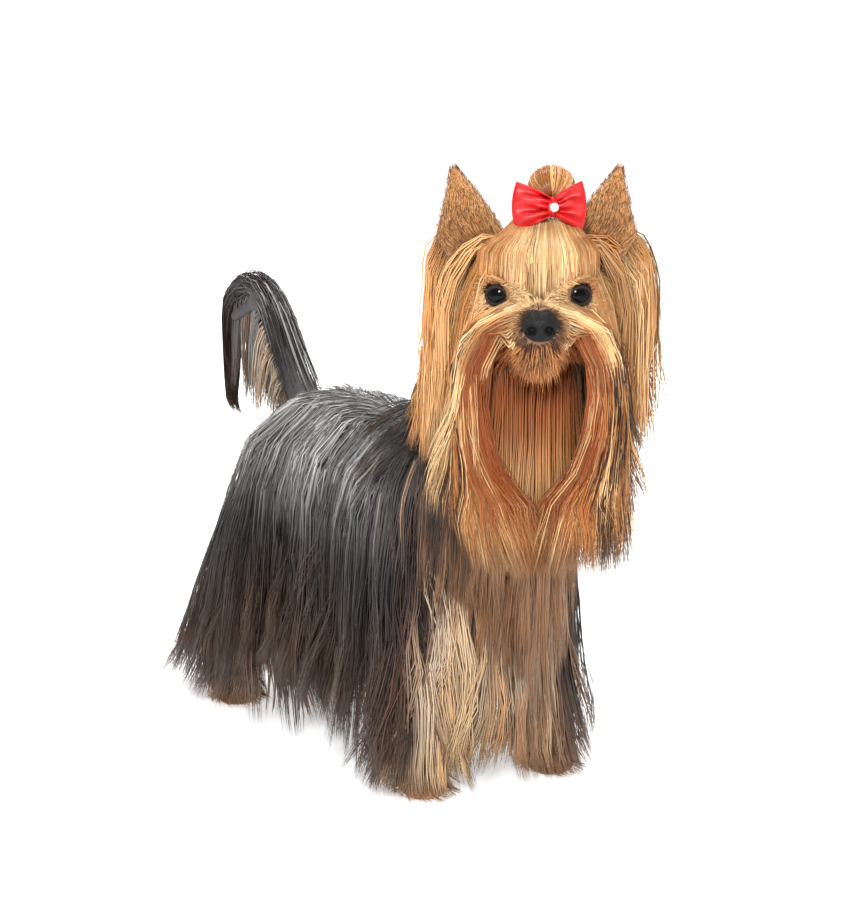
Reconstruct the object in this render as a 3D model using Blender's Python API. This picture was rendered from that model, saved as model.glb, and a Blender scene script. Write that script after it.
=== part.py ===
"""Yorkshire terrier in full show coat: a life-size still model in metres, +Z up.

The dog stands on four paws, faces -Y and turns its head to its own right.
Its body is a few smooth forms, blended from named round lumps. Each node has
a core just over the skin, and long flat locks that are sunk in the core, lie
over the body, fall and end near the floor. The nodes touch face to face.
"""

import math
import random

import bmesh
import bpy
import numpy as np
from mathutils import Vector
from mathutils.bvhtree import BVHTree

# Gaps between nodes, and the height of the lowest hair over the floor
TOUCH_GAP = 0.0003
LOCK_GAP = 0.0006
FLOOR_CLEARANCE = 0.0040

# Where the middle of the whole is, in the frame in which the forms below are laid out
MIDDLE = (0.0, -0.0236)

# Body sizes, at the skin
BACK_HEIGHT = 0.190
CHEST_RADIUS = 0.044
LOIN_RADIUS = 0.036
CROUP_RADIUS = 0.031
FRONT_LEG_Y = -0.104
HIND_LEG_Y = 0.100
STIFLE_Y = 0.058
LEG_X = 0.041
WRIST_HEIGHT = 0.040
HOCK_HEIGHT = 0.055
PAW_WIDTH = 0.022
PAW_LENGTH = 0.029
TAIL_ROOT = (0.0, 0.072, 0.172)
TAIL_TOP = (-0.004, 0.124, 0.236)
TAIL_END = (-0.008, 0.150, 0.222)
TAIL_RADIUS = 0.0085

# The head: its centre lies between the ears, at the height of the eyes
HEAD_CENTRE = (0.003, -0.155, 0.276)
HEAD_TURN = math.radians(-32)
SKULL_RADIUS = 0.0295
MUZZLE_RADIUS = 0.0145
EYE_SPACING = 0.0425
EYE_RADIUS = 0.0085
EYE_FORWARD = 0.0295
NOSE_WIDTH = 0.019
NOSE_HEIGHT = 0.0155
NOSE_DEPTH = 0.015
EAR_THICKNESS = 0.0018
KNOT_AT = (0.0055, -0.0035, 0.0430)
KNOT_WAIST = 0.0055
KNOT_DOME = 0.0125

# Coat: depth of the core over the skin, and of each tier of locks over that
CORE_DEPTH = 0.005
HEAD_CORE_DEPTH = 0.002
LEG_CORE_DEPTH = 0.003
LOCK_THICKNESS = 0.0030

SEED = 7
DOWN = np.array((0.0, 0.0, -1.0))


def unit(vectors):
    lengths = np.linalg.norm(vectors, axis=-1, keepdims=True)
    return vectors / np.maximum(lengths, 1e-9)


def head_point(x, y, z):
    """A point of the head's own frame, in which the face looks along -Y."""
    c, s = math.cos(HEAD_TURN), math.sin(HEAD_TURN)
    cx, cy, cz = HEAD_CENTRE
    return (cx + c * x - s * y, cy + s * x + c * y, cz + z)


def head_vector(x, y, z):
    c, s = math.cos(HEAD_TURN), math.sin(HEAD_TURN)
    return (c * x - s * y, s * x + c * y, z)


def lump(start, end, start_radius, end_radius=None):
    """A round lump that runs from one centre to another."""
    if end_radius is None:
        end_radius = start_radius
    return np.array(start), np.array(end), start_radius, end_radius


def both_sides(start, end, start_radius, end_radius):
    """The same lump on the dog's left and right."""
    return [
        lump((side * start[0], *start[1:]), (side * end[0], *end[1:]), start_radius, end_radius)
        for side in (1, -1)
    ]


def torso_lumps():
    chest_z = BACK_HEIGHT - CHEST_RADIUS
    loin_z = BACK_HEIGHT - LOIN_RADIUS
    croup_z = BACK_HEIGHT - CROUP_RADIUS - 0.004
    return [
        lump((0, -0.072, chest_z), (0, 0.000, chest_z + 0.003), CHEST_RADIUS, 0.041),
        lump((0, 0.000, chest_z + 0.003), (0, 0.038, loin_z), 0.041, LOIN_RADIUS),
        lump((0, 0.038, loin_z), (0, 0.056, croup_z), LOIN_RADIUS, CROUP_RADIUS),
        lump((0, -0.106, 0.142), (0, -0.090, 0.132), 0.029, 0.034),
        lump((0, -0.080, 0.166), (0, -0.060, 0.166), 0.023, 0.022),
        *both_sides((0.027, -0.090, 0.150), (0.036, -0.100, 0.116), 0.028, 0.018),
        *both_sides((0.022, 0.052, 0.144), (0.036, STIFLE_Y + 0.002, 0.104), 0.026, 0.019),
    ]


def front_leg_lumps(side):
    x = side * LEG_X
    return [
        lump((side * 0.036, -0.098, 0.122), (x, FRONT_LEG_Y, WRIST_HEIGHT), 0.017, 0.0095),
        lump((x, FRONT_LEG_Y, WRIST_HEIGHT), (x, FRONT_LEG_Y - 0.004, 0.012), 0.0095, 0.0105),
    ]


def hind_leg_lumps(side):
    x = side * LEG_X
    return [
        lump((side * 0.034, STIFLE_Y - 0.003, 0.106), (x, HIND_LEG_Y + 0.008, HOCK_HEIGHT), 0.0185, 0.0095),
        lump((x, HIND_LEG_Y + 0.008, HOCK_HEIGHT), (x, HIND_LEG_Y + 0.002, 0.012), 0.0095, 0.0105),
    ]


def neck_lumps():
    return [
        lump((0, -0.090, 0.160), (0.001, -0.119, 0.204), 0.034, 0.028),
        lump((0.001, -0.119, 0.204), head_point(0, 0.004, -0.014), 0.028, 0.025),
    ]


def head_lumps():
    return [
        lump(head_point(0, 0.014, 0.001), head_point(0, -0.006, 0.0035), SKULL_RADIUS),
        lump(head_point(0.016, -0.008, -0.010), head_point(-0.016, -0.008, -0.010), 0.020),
        lump(head_point(0.012, -0.024, 0.012), head_point(-0.012, -0.024, 0.012), 0.014),
        lump(head_point(0, -0.020, -0.008), head_point(0, -0.042, -0.0145), 0.021, MUZZLE_RADIUS),
        lump(head_point(0, -0.014, -0.022), head_point(0, -0.038, -0.0300), 0.015, 0.0080),
    ]


def tail_lumps():
    return [lump(TAIL_ROOT, TAIL_TOP, 0.0125, TAIL_RADIUS)]


def plume_lumps():
    return [lump(TAIL_TOP, TAIL_END, TAIL_RADIUS, 0.006)]


BLEND = {"torso": 0.016, "neck": 0.010, "head": 0.008, "leg": 0.006, "tail": 0.006}


def lump_distance(points, one):
    start, end, start_radius, end_radius = one
    axis = end - start
    along = np.clip(((points - start) @ axis) / max(axis @ axis, 1e-12), 0, 1)
    centres = start + along[:, None] * axis
    radius = start_radius + along * (end_radius - start_radius)
    return np.linalg.norm(points - centres, axis=1) - radius


def form_distance(points, form):
    """Distance from a form's skin, negative inside. A form is its lumps and how softly they blend."""
    lumps, blend = form
    total = lump_distance(points, lumps[0])
    for one in lumps[1:]:
        other = lump_distance(points, one)
        mix = np.clip(0.5 + 0.5 * (other - total) / blend, 0, 1)
        total = other * (1 - mix) + total * mix - blend * mix * (1 - mix)
    return total


def all_forms():
    return {
        "torso": (torso_lumps(), BLEND["torso"]),
        "neck": (neck_lumps(), BLEND["neck"]),
        "head": (head_lumps(), BLEND["head"]),
        "leg_front_left": (front_leg_lumps(1), BLEND["leg"]),
        "leg_front_right": (front_leg_lumps(-1), BLEND["leg"]),
        "leg_hind_left": (hind_leg_lumps(1), BLEND["leg"]),
        "leg_hind_right": (hind_leg_lumps(-1), BLEND["leg"]),
        "tail": (tail_lumps(), BLEND["tail"]),
        "tail_plume": (plume_lumps(), BLEND["tail"]),
    }


FORMS = all_forms()
LEGS = ("leg_front_left", "leg_front_right", "leg_hind_left", "leg_hind_right")


def clearance(points, obstacles):
    """How far points are outside the nearest obstacle, each a form and the depth kept over it."""
    return np.min([form_distance(points, form) - depth for form, depth in obstacles], axis=0)


def outward(points, obstacles, reach=0.0005):
    """Unit direction that leads away from the obstacles."""
    slopes = [
        clearance(points + reach * axis, obstacles) - clearance(points - reach * axis, obstacles)
        for axis in np.eye(3)
    ]
    return unit(np.stack(slopes, axis=-1))


def drape(roots, headings, lengths, layers, obstacles, drift=DOWN, limp=0.0126, steps=18):
    """Centre lines of hair that leaves its root along a heading, bends down and lies on what is under it."""
    lengths = np.asarray(lengths, float)[:, None]
    layers = np.asarray(layers, float)
    place = np.array(roots, float)
    heading = unit(np.array(headings, float))
    drift = unit(np.broadcast_to(drift, place.shape))
    stride = lengths / steps
    line = [place]
    for step in range(1, steps + 1):
        fall = 1 - np.exp(-stride / limp)
        heading = unit(heading * (1 - fall) + drift * fall)
        new = place + heading * stride
        for _ in range(3):
            depth = clearance(new, obstacles) - layers * min(1.0, 2.0 * step / steps)
            new = new + outward(new, obstacles) * np.maximum(-depth, 0)[:, None]
            new[:, 2] = np.maximum(new[:, 2], FLOOR_CLEARANCE)
            new = place + unit(new - place) * stride
        heading = unit(new - place)
        place = new
        line.append(place)
    return np.stack(line, axis=1)


def thinned(line, segments):
    """The same line with fewer points, closest together where it bends."""
    ways = np.diff(line, axis=0)
    lengths = np.linalg.norm(ways, axis=1)
    turns = np.arccos(np.clip(np.sum(unit(ways[1:]) * unit(ways[:-1]), axis=1), -1, 1))
    measure = lengths / lengths.sum()
    measure[1:] += 0.5 * turns
    measure[:-1] += 0.5 * turns
    marks = np.concatenate(([0], np.cumsum(measure)))
    at = marks[-1] * (1 - (1 - np.linspace(0, 1, segments + 1)) ** 1.3)
    return np.stack([np.interp(at, marks, line[:, k]) for k in range(3)], axis=1)


def new_object(name, mesh, material=None):
    made = bpy.data.objects.new(name, mesh)
    bpy.context.scene.collection.objects.link(made)
    if material:
        mesh.materials.append(material)
    return made


def mesh_object(name, points, faces, material=None):
    mesh = bpy.data.meshes.new(name)
    mesh.from_pydata([tuple(p) for p in points], [], faces)
    mesh.update()
    return new_object(name, mesh, material)


def finish_material(name, colour, roughness, metallic=0.0):
    material = bpy.data.materials.new(name)
    material.use_nodes = True
    shader = material.node_tree.nodes["Principled BSDF"]
    shader.inputs["Base Color"].default_value = (*colour, 1.0)
    shader.inputs["Roughness"].default_value = roughness
    shader.inputs["Metallic"].default_value = metallic
    material.diffuse_color = (*colour, 1.0)
    return material


def ring_faces(rings, sides):
    """Triangles between rings of points, with a point before the first ring and one after the last."""
    first, last = 0, 1 + rings * sides
    faces = [(first, 1 + (i + 1) % sides, 1 + i) for i in range(sides)]
    for r in range(rings - 1):
        a, b = 1 + r * sides, 1 + (r + 1) * sides
        for i in range(sides):
            j = (i + 1) % sides
            faces += [(a + i, a + j, b + j), (a + i, b + j, b + i)]
    a = 1 + (rings - 1) * sides
    faces += [(a + i, a + (i + 1) % sides, last) for i in range(sides)]
    return faces


def leave_form(form, depth, origins, rays, reach=0.12, samples=80):
    """Where rays from points inside a form get to a depth over its skin."""
    origins, rays = np.broadcast_arrays(np.asarray(origins, float), np.asarray(rays, float))
    steps = np.linspace(0, reach, samples)
    tried = origins[:, None] + steps[None, :, None] * rays[:, None]
    outside = form_distance(tried.reshape(-1, 3), form).reshape(len(rays), samples) >= depth
    high = steps[np.argmax(outside, axis=1)]
    low = np.maximum(high - reach / (samples - 1), 0)
    for _ in range(16):
        middle = (low + high) / 2
        inside = form_distance(origins + middle[:, None] * rays, form) < depth
        low = np.where(inside, middle, low)
        high = np.where(inside, high, middle)
    return origins + low[:, None] * rays


def along_path(path, shares):
    """Points of a bent path at shares of its length, and its smoothed directions there."""
    path = np.array(path, float)
    lengths = np.linalg.norm(np.diff(path, axis=0), axis=1)
    marks = np.concatenate(([0], np.cumsum(lengths))) / lengths.sum()

    def sample(at):
        return np.stack([np.interp(at, marks, path[:, k]) for k in range(3)], axis=1)

    return sample(shares), unit(sample(np.minimum(shares + 0.12, 1)) - sample(np.maximum(shares - 0.12, 0)))


def shell(name, form, depth, path, rings, sides, material=None):
    """A closed skin over a form: rings of points where rays from a path inside leave it."""
    fine = np.linspace(0, 1, 400)
    inside = fine[form_distance(along_path(path, fine)[0], form) < depth]
    first, last = inside[0], inside[-1]
    share = first + (last - first) * (0.5 - 0.5 * np.cos(np.pi * (np.arange(rings) + 0.6) / (rings + 0.2)))
    centres, along = along_path(path, share)
    across = unit(np.cross(np.array(path[-1]) - np.array(path[0]), (0.0, 0.12, 1.0)))
    if abs(across[0]) < 0.6:
        across = np.array((1.0, 0.0, 0.0))
    across = unit(across - along * (along @ across)[:, None])
    upward = np.cross(across, along)
    turn = 2 * np.pi * (np.arange(sides) + 0.5) / sides
    rays = np.cos(turn)[None, :, None] * across[:, None] + np.sin(turn)[None, :, None] * upward[:, None]
    ringed = leave_form(form, depth, np.repeat(centres, sides, axis=0), rays.reshape(-1, 3))
    ends = along_path(path, np.array((first, last)))[0]
    made = mesh_object(name, np.concatenate((ends[:1], ringed, ends[1:])), ring_faces(rings, sides), material)
    face_out(made)
    return made


def face_out(made):
    work = bmesh.new()
    work.from_mesh(made.data)
    bmesh.ops.recalc_face_normals(work, faces=work.faces)
    if work.calc_volume(signed=True) < 0:
        bmesh.ops.reverse_faces(work, faces=work.faces)
    work.to_mesh(made.data)
    work.free()


def evaluated_mesh(made):
    graph = bpy.context.evaluated_depsgraph_get()
    return bpy.data.meshes.new_from_object(made.evaluated_get(graph))


def combine(made, others, operation):
    """Applies one Boolean on a collection of closed meshes, and removes them."""
    group = bpy.data.collections.new("pieces")
    for other in others:
        group.objects.link(other)
    step = made.modifiers.new("join", "BOOLEAN")
    step.operation = operation
    step.operand_type = "COLLECTION"
    step.collection = group
    step.solver = "MANIFOLD"
    mesh = evaluated_mesh(made)
    made.modifiers.remove(step)
    old = made.data
    made.data = mesh
    bpy.data.meshes.remove(old)
    for other in others:
        spare = other.data
        bpy.data.objects.remove(other)
        if spare.users == 0:
            bpy.data.meshes.remove(spare)
    bpy.data.collections.remove(group)


def cut(made, *cutters):
    combine(made, cutters, "DIFFERENCE")
    keep_largest(made)


def join(made, pieces):
    if pieces:
        combine(made, pieces, "UNION")
    keep_largest(made)


def keep_largest(made):
    """Leaves only the largest closed surface, which fills any sealed hollow."""
    work = bmesh.new()
    work.from_mesh(made.data)
    work.faces.ensure_lookup_table()
    left = set(work.faces)
    islands = []
    while left:
        seed = left.pop()
        island, edge = [seed], [seed]
        while edge:
            face = edge.pop()
            for side in face.edges:
                if len(side.link_faces) != 2:
                    continue
                for other in side.link_faces:
                    if other in left:
                        left.remove(other)
                        island.append(other)
                        edge.append(other)
        islands.append(island)
    islands.sort(key=lambda faces: -sum(f.calc_area() for f in faces))
    spare = [f for island in islands[1:] for f in island]
    if spare:
        bmesh.ops.delete(work, geom=spare, context="FACES")
    work.to_mesh(made.data)
    work.free()


def triangle_tree(made):
    made.data.calc_loop_triangles()
    points = [v.co.copy() for v in made.data.vertices]
    faces = [tuple(t.vertices) for t in made.data.loop_triangles]
    return BVHTree.FromPolygons(points, faces, epsilon=0.0)


def settled(line, normals):
    """The outsides of a lock along its line, which stay as they were where the lock hangs free."""
    tangents = unit(np.gradient(line, axis=0))
    across = normals - tangents * np.sum(normals * tangents, axis=1, keepdims=True)
    kept = [unit(across[0])]
    for tangent, new in zip(tangents[1:], across[1:]):
        last = kept[-1] - tangent * (kept[-1] @ tangent)
        kept.append(unit(unit(last) + new * np.linalg.norm(new)))
    return np.array(kept)


LOCK_SHAPE = ((0.0, 0.60), (0.20, 0.95), (0.60, 1.0), (0.82, 0.82), (0.94, 0.40), (1.0, 0.0))


def lock_share(along):
    """Width of a lock at a share of its length, as a share of its full width."""
    return np.interp(along, [a for a, _ in LOCK_SHAPE], [w for _, w in LOCK_SHAPE])


def lock_parts(line, normals, width, thickness):
    """Points and faces of a flat lock: a crowned outside, a flat inside and a pointed tip."""
    count = len(line)
    tangents = unit(np.gradient(line, axis=0))
    sideways = unit(np.cross(tangents, normals))
    facing = np.cross(sideways, tangents)
    gone = np.concatenate(([0], np.cumsum(np.linalg.norm(np.diff(line, axis=0), axis=1))))
    points = []
    for i in range(count - 1):
        share = lock_share(gone[i] / gone[-1])
        half = sideways[i] * width * share / 2
        thick = thickness * (0.35 + 0.65 * share)
        points += [
            line[i] - half - facing[i] * thick * 0.4,
            line[i] + facing[i] * thick * 0.6,
            line[i] + half - facing[i] * thick * 0.4,
        ]
    points.append(line[-1])
    tip = len(points) - 1
    faces = [(0, 1, 2)]
    for i in range(count - 2):
        a, b = 3 * i, 3 * (i + 1)
        for k in range(3):
            m = (k + 1) % 3
            faces += [(a + k, b + k, b + m), (a + k, b + m, a + m)]
    a = 3 * (count - 2)
    faces += [(a + k, tip, a + (k + 1) % 3) for k in range(3)]
    return np.array(points), faces


# How far a blocked lock is lifted, and the share of its length it keeps, try by try
LOCK_TRIES = ((0, 1), (0.0010, 1), (0.0025, 1), (0.0040, 1), (0.0010, 0.85), (0.0030, 0.75), (0.0010, 0.6))


class Locks:
    """The locks of one node: each is placed clear of the other nodes, or left out."""

    def __init__(self, node, others, obstacles):
        self.node = node
        self.trees = [triangle_tree(other) for other in others]
        self.obstacles = obstacles
        self.pieces = []

    def is_clear(self, line, normals, width, thickness):
        points, faces = lock_parts(line, normals, width + 2 * LOCK_GAP, thickness + 2 * LOCK_GAP)
        tree = BVHTree.FromPolygons([Vector(p) for p in points], faces, epsilon=0.0)
        return not any(tree.overlap(other) for other in self.trees)

    def place(self, line, normals, width, thickness):
        points, faces = lock_parts(line, normals, width, thickness)
        piece = mesh_object("lock", points, faces)
        face_out(piece)
        self.pieces.append(piece)

    def hang(self, roots, headings, tips, layers, drift=DOWN, spread=0.004, **how):
        """Locks long enough for each tip to end at a height, give or take a spread."""
        roots = np.array(roots, float)
        uneven = np.array([random.uniform(-spread, spread) for _ in roots])
        tips = np.maximum(tips + uneven, FLOOR_CLEARANCE + 0.001)
        layers = np.broadcast_to(layers, len(roots)).astype(float)
        aim = unit(np.broadcast_to(drift, roots.shape).astype(float))
        lengths = roots[:, 2] - tips + 0.01
        longest = 1.12 * (roots[:, 2] - tips) + 0.035
        for _ in range(3):
            line = drape(roots, headings, lengths, layers, self.obstacles, drift=aim, limp=how.get("limp", 0.0126))
            lengths = np.clip(lengths + (line[:, -1, 2] - tips), 0.02, longest)
        self.add(roots, headings, lengths, layers, drift=aim, **how)

    def add(self, roots, headings, lengths, layers, drift=DOWN, width=0.0150,
            thickness=LOCK_THICKNESS, limp=0.0126, segments=5):
        """Drapes locks. One that would touch another node is lifted, then shortened."""
        roots, headings = np.array(roots, float), np.array(headings, float)
        lengths = np.broadcast_to(lengths, len(roots)).astype(float)
        layers = np.broadcast_to(layers, len(roots)).astype(float)
        drift = np.broadcast_to(drift, roots.shape).astype(float)
        left = np.arange(len(roots))
        for lift, keep in LOCK_TRIES:
            lines = drape(
                roots[left], headings[left], lengths[left] * keep, layers[left] + lift,
                self.obstacles, drift=drift[left], limp=limp,
            )
            blocked = []
            for i, line in zip(left, lines):
                line = thinned(line, segments)
                normals = settled(line, outward(line, self.obstacles))
                if self.is_clear(line, normals, width, thickness):
                    self.place(line, normals, width, thickness)
                else:
                    blocked.append(i)
            left = np.array(blocked, int)
            if not blocked:
                break

    def fuse(self):
        join(self.node, self.pieces)


def surface_point(form, depth, inside, ray):
    """Where a ray from a point inside a form gets to a depth over its skin."""
    return leave_form(form, depth, np.array([inside], float), unit(np.array([ray], float)))[0]


def vary(values, share):
    """The values, each changed by up to a share of itself."""
    return np.array([value * (1 + random.uniform(-share, share)) for value in values])


def ball(name, centre, radii, turn=0.0, rings=8, sides=12, material=None):
    """An ellipsoid whose axes are turned about the vertical."""
    c, s = math.cos(turn), math.sin(turn)
    points = [(0, 0, 1)]
    for ring in range(1, rings):
        rise = math.pi * ring / rings
        for side in range(sides):
            around = 2 * math.pi * (side + 0.5) / sides
            out = math.sin(rise)
            points.append((out * math.cos(around), out * math.sin(around), math.cos(rise)))
    points.append((0, 0, -1))
    points = np.array(points) * radii
    points = np.stack((c * points[:, 0] - s * points[:, 1], s * points[:, 0] + c * points[:, 1], points[:, 2]), 1)
    made = mesh_object(name, points + centre, ring_faces(rings - 1, sides), material)
    face_out(made)
    return made


def tube(name, line, across, radii, sides=6, material=None):
    """A closed tube along a line of points. Its section is an ellipse: one axis lies along across."""
    line, radii = np.array(line, float), np.broadcast_to(radii, (len(line), 2))
    tangents = unit(np.gradient(line, axis=0))
    first = unit(across - tangents * np.sum(across * tangents, axis=1, keepdims=True))
    second = np.cross(tangents, first)
    points = [line[0]]
    for i in range(len(line)):
        for side in range(sides):
            turn = 2 * math.pi * (side + 0.5) / sides
            spoke = math.cos(turn) * radii[i][0] * first[i] + math.sin(turn) * radii[i][1] * second[i]
            points.append(line[i] + spoke)
    points.append(line[-1])
    made = mesh_object(name, points, ring_faces(len(line), sides), material)
    face_out(made)
    return made


def sheet(name, grid, thickness, material=None):
    """A closed plate: a grid of points, and its copy set back by a thickness along the normals."""
    grid = np.array(grid, float)
    rows, columns = grid.shape[:2]
    normals = unit(np.cross(np.gradient(grid, axis=0), np.gradient(grid, axis=1)))
    points = np.concatenate((grid.reshape(-1, 3), (grid - normals * thickness).reshape(-1, 3)))
    back = rows * columns
    faces = []
    for r in range(rows - 1):
        for c in range(columns - 1):
            a = r * columns + c
            b = a + columns
            faces += [(a, a + 1, b + 1), (a, b + 1, b)]
            faces += [(back + a, back + b + 1, back + a + 1), (back + a, back + b, back + b + 1)]
    rim = [c for c in range(columns)] + [r * columns + columns - 1 for r in range(1, rows)]
    rim += [(rows - 1) * columns + c for c in range(columns - 2, -1, -1)]
    rim += [r * columns for r in range(rows - 2, 0, -1)]
    for i, a in enumerate(rim):
        b = rim[(i + 1) % len(rim)]
        faces += [(a, back + a, back + b), (a, back + b, b)]
    made = mesh_object(name, points, faces, material)
    face_out(made)
    return made


def box(name, low, high):
    points = [(x, y, z) for x in (low[0], high[0]) for y in (low[1], high[1]) for z in (low[2], high[2])]
    faces = [(0, 1, 3, 2), (4, 6, 7, 5), (0, 4, 5, 1), (2, 3, 7, 6), (0, 2, 6, 4), (1, 5, 7, 3)]
    made = mesh_object(name, points, faces)
    face_out(made)
    return made


def torso_shell(look):
    path = ((0, 0.15, 0.150), (0, -0.19, 0.140))
    return shell("torso", FORMS["torso"], CORE_DEPTH, path, 13, 18, look["steel"])


def head_shell(look):
    path = (head_point(0, 0.07, 0.004), head_point(0, -0.01, 0.0), head_point(0, -0.08, -0.017))
    return shell("head", FORMS["head"], HEAD_CORE_DEPTH, path, 13, 16, look["tan"])


def neck_shell(look):
    path = ((0, -0.055, 0.110), (0.001, -0.119, 0.204), head_point(0, 0.0, 0.03))
    return shell("neck", FORMS["neck"], CORE_DEPTH, path, 7, 14, look["tan"])


def tail_shell(look):
    path = ((0.003, 0.050, 0.140), TAIL_ROOT, TAIL_TOP, (-0.006, 0.146, 0.264))
    return shell("tail", FORMS["tail"], LEG_CORE_DEPTH, path, 7, 10, look["steel"])


def plume_shell(look):
    path = ((-0.002, 0.106, 0.243), TAIL_TOP, TAIL_END, (-0.010, 0.170, 0.210))
    return shell("tail_plume", FORMS["tail_plume"], LEG_CORE_DEPTH, path, 5, 10, look["black"])


def leg_shell(name, material):
    """A leg that ends in a paw with four toes, cut flat at the floor."""
    form = FORMS[name]
    upper, lower = form[0]
    x, y = lower[1][0], lower[1][1]
    path = (upper[0] + (0, 0, 0.05), upper[0], upper[1], lower[1], lower[1] - (0, 0, 0.03))
    made = shell(name, form, LEG_CORE_DEPTH, path, 9, 8, material)
    paw = ball("paw", (x, y - 0.004, 0.008), (PAW_WIDTH / 2, PAW_LENGTH * 0.46, 0.0095), rings=5, sides=9)
    toes = [
        ball("toe", (x + reach * 0.0052, y - 0.0125 + 0.0018 * reach**2, 0.0052), (0.0036, 0.0062, 0.0062),
             turn=-0.14 * reach, rings=4, sides=6)
        for reach in (-1.45, -0.5, 0.5, 1.45)
    ]
    join(made, [paw, *toes])
    cut(made, box("floor", (x - 0.1, y - 0.1, -0.1), (x + 0.1, y + 0.1, 0.0)))
    return made


def eye_centre(side):
    """The eyeball's middle in the head's own frame. It looks a little outwards."""
    return np.array((side * (EYE_SPACING / 2 - 0.0020), EYE_RADIUS - EYE_FORWARD, 0.0))


def build_eye(side, look):
    name = "eye_left" if side > 0 else "eye_right"
    return ball(name, head_point(*eye_centre(side)), (EYE_RADIUS,) * 3, turn=HEAD_TURN, rings=8, sides=12,
                material=look["eye"])


def lids(side):
    """The rim of both lids, the hollow behind it and the opening between the lids."""
    centre = eye_centre(side)
    gaze = unit(np.array((side * 0.28, -1.0, 0.02)))
    across = unit(np.cross(gaze, (0.0, 0.0, 1.0)))
    rise = np.cross(across, gaze)
    rim_line, opening = [], []
    for step in range(11):
        turn = 2 * math.pi * step / 10
        around = math.cos(turn) * 0.0061 * across + math.sin(turn) * 0.0050 * rise
        lift = math.sqrt(max((EYE_RADIUS + 0.0006) ** 2 - around @ around, 0))
        rim_line.append(head_point(*(centre + around + gaze * lift)))
    rim = loop_tube("rim", rim_line[:-1], head_point(*centre), 0.0013)
    socket = ball("socket", head_point(*centre), (EYE_RADIUS + TOUCH_GAP,) * 3, turn=HEAD_TURN, rings=8, sides=12)
    for reach in (0.002, 0.016):
        opening.append(head_point(*(centre + gaze * reach)))
    hole = tube("opening", opening, np.array(head_vector(*across)), [(0.0055, 0.0045), (0.0070, 0.0058)], sides=10)
    return rim, (socket, hole)


def loop_tube(name, line, centre, radius, sides=5):
    """A closed ring of round section that follows a loop of points."""
    line = np.array(line)
    count = len(line)
    tangents = unit(np.roll(line, -1, axis=0) - np.roll(line, 1, axis=0))
    spokes = line - np.array(centre)
    first = unit(spokes - tangents * np.sum(spokes * tangents, axis=1, keepdims=True))
    second = np.cross(tangents, first)
    points, faces = [], []
    for i in range(count):
        for side in range(sides):
            turn = 2 * math.pi * side / sides
            points.append(line[i] + radius * (math.cos(turn) * first[i] + math.sin(turn) * second[i]))
    for i in range(count):
        for side in range(sides):
            a, b = i * sides, (i + 1) % count * sides
            j = (side + 1) % sides
            faces += [(a + side, a + j, b + j), (a + side, b + j, b + side)]
    made = mesh_object(name, points, faces)
    face_out(made)
    return made


def mouth_arc(shrink, rise, count=7):
    """Points round the muzzle at the mouth's height, drawn in by a distance."""
    points = []
    for step in range(count):
        turn = math.pi * (step / (count - 1) * 1.16 - 0.08)
        ahead = math.sin(turn)
        points.append(head_point(
            math.cos(turn) * (0.0160 - shrink), -0.0300 - ahead * (0.0185 - shrink),
            -0.0262 + rise - 0.0035 * abs(math.cos(turn)) ** 2,
        ))
    return points


def build_nose(look):
    centre = head_point(0, -0.0525, -0.0105)
    nose = ball("nose", (0, 0, 0), (1, 1, 1), rings=7, sides=12, material=look["nose"])
    for vertex in nose.data.vertices:
        x, y, z = vertex.co
        x, y, z = (math.copysign(abs(v) ** 0.82, v) for v in (x, y, z))
        taper = 1 - 0.20 * max(0, -z)
        vertex.co = Vector(centre) + Vector(head_vector(
            x * NOSE_WIDTH / 2 * taper, y * NOSE_DEPTH / 2 + 0.0015 * z, z * NOSE_HEIGHT / 2))
    face_out(nose)
    cutters = []
    for side in (1, -1):
        cutters.append(ball("nostril", head_point(side * 0.0043, -0.0602, -0.0118), (0.0022, 0.0052, 0.0021),
                            turn=HEAD_TURN + side * 0.35, rings=5, sides=8))
        cutters.append(ball("nostril_slit", head_point(side * 0.0078, -0.0572, -0.0128), (0.0030, 0.0040, 0.0008),
                            turn=HEAD_TURN + side * 0.8, rings=4, sides=6))
    cutters.append(ball("philtrum", head_point(0, -0.0605, -0.0160), (0.0005, 0.0030, 0.0050), turn=HEAD_TURN,
                        rings=4, sides=6))
    for cutter in cutters:
        cut(nose, cutter)
    return nose


def build_ear(side, look):
    """A standing cup that opens forward and out, from the skull up to a pointed tip."""
    rows, columns = 7, 6
    grid = np.zeros((rows, columns, 3))
    for r in range(rows):
        t = r / (rows - 1)
        inner = np.array((0.0150 + 0.0270 * t - 0.0030 * math.sin(math.pi * t), 0.0240 + 0.0375 * t))
        outer = np.array((np.interp(t, (0, 0.2, 0.42, 1), (0.026, 0.045, 0.0515, 0.0432)),
                          np.interp(t, (0, 0.2, 0.42, 1), (0.004, 0.015, 0.0265, 0.0615))))
        for c in range(columns):
            u = c / (columns - 1)
            x, z = inner + u * (outer - inner)
            cup = (0.0115 - 0.0095 * t) * (1 - (2 * u - 1) ** 2)
            lean = -0.0015 + 0.0065 * t + 0.0035 * (u - 0.5) * (1 - t)
            grid[r, c] = head_point(side * x, lean + cup, z)
    if side < 0:
        grid = grid[:, ::-1]
    name = "ear_left" if side > 0 else "ear_right"
    return sheet(name, grid, -EAR_THICKNESS, look["ear"])


def knot_radius(z):
    """Radius of the topknot at a height over its waist."""
    heights = (-0.009, -0.004, 0.0, 0.003, 0.007, 0.011, 0.0155, 0.0185, 0.0205)
    radii = (0.0078, 0.0068, KNOT_WAIST, 0.0075, 0.0108, KNOT_DOME, 0.0108, 0.0070, 0.0020)
    return float(np.interp(z, heights, radii))


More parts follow.
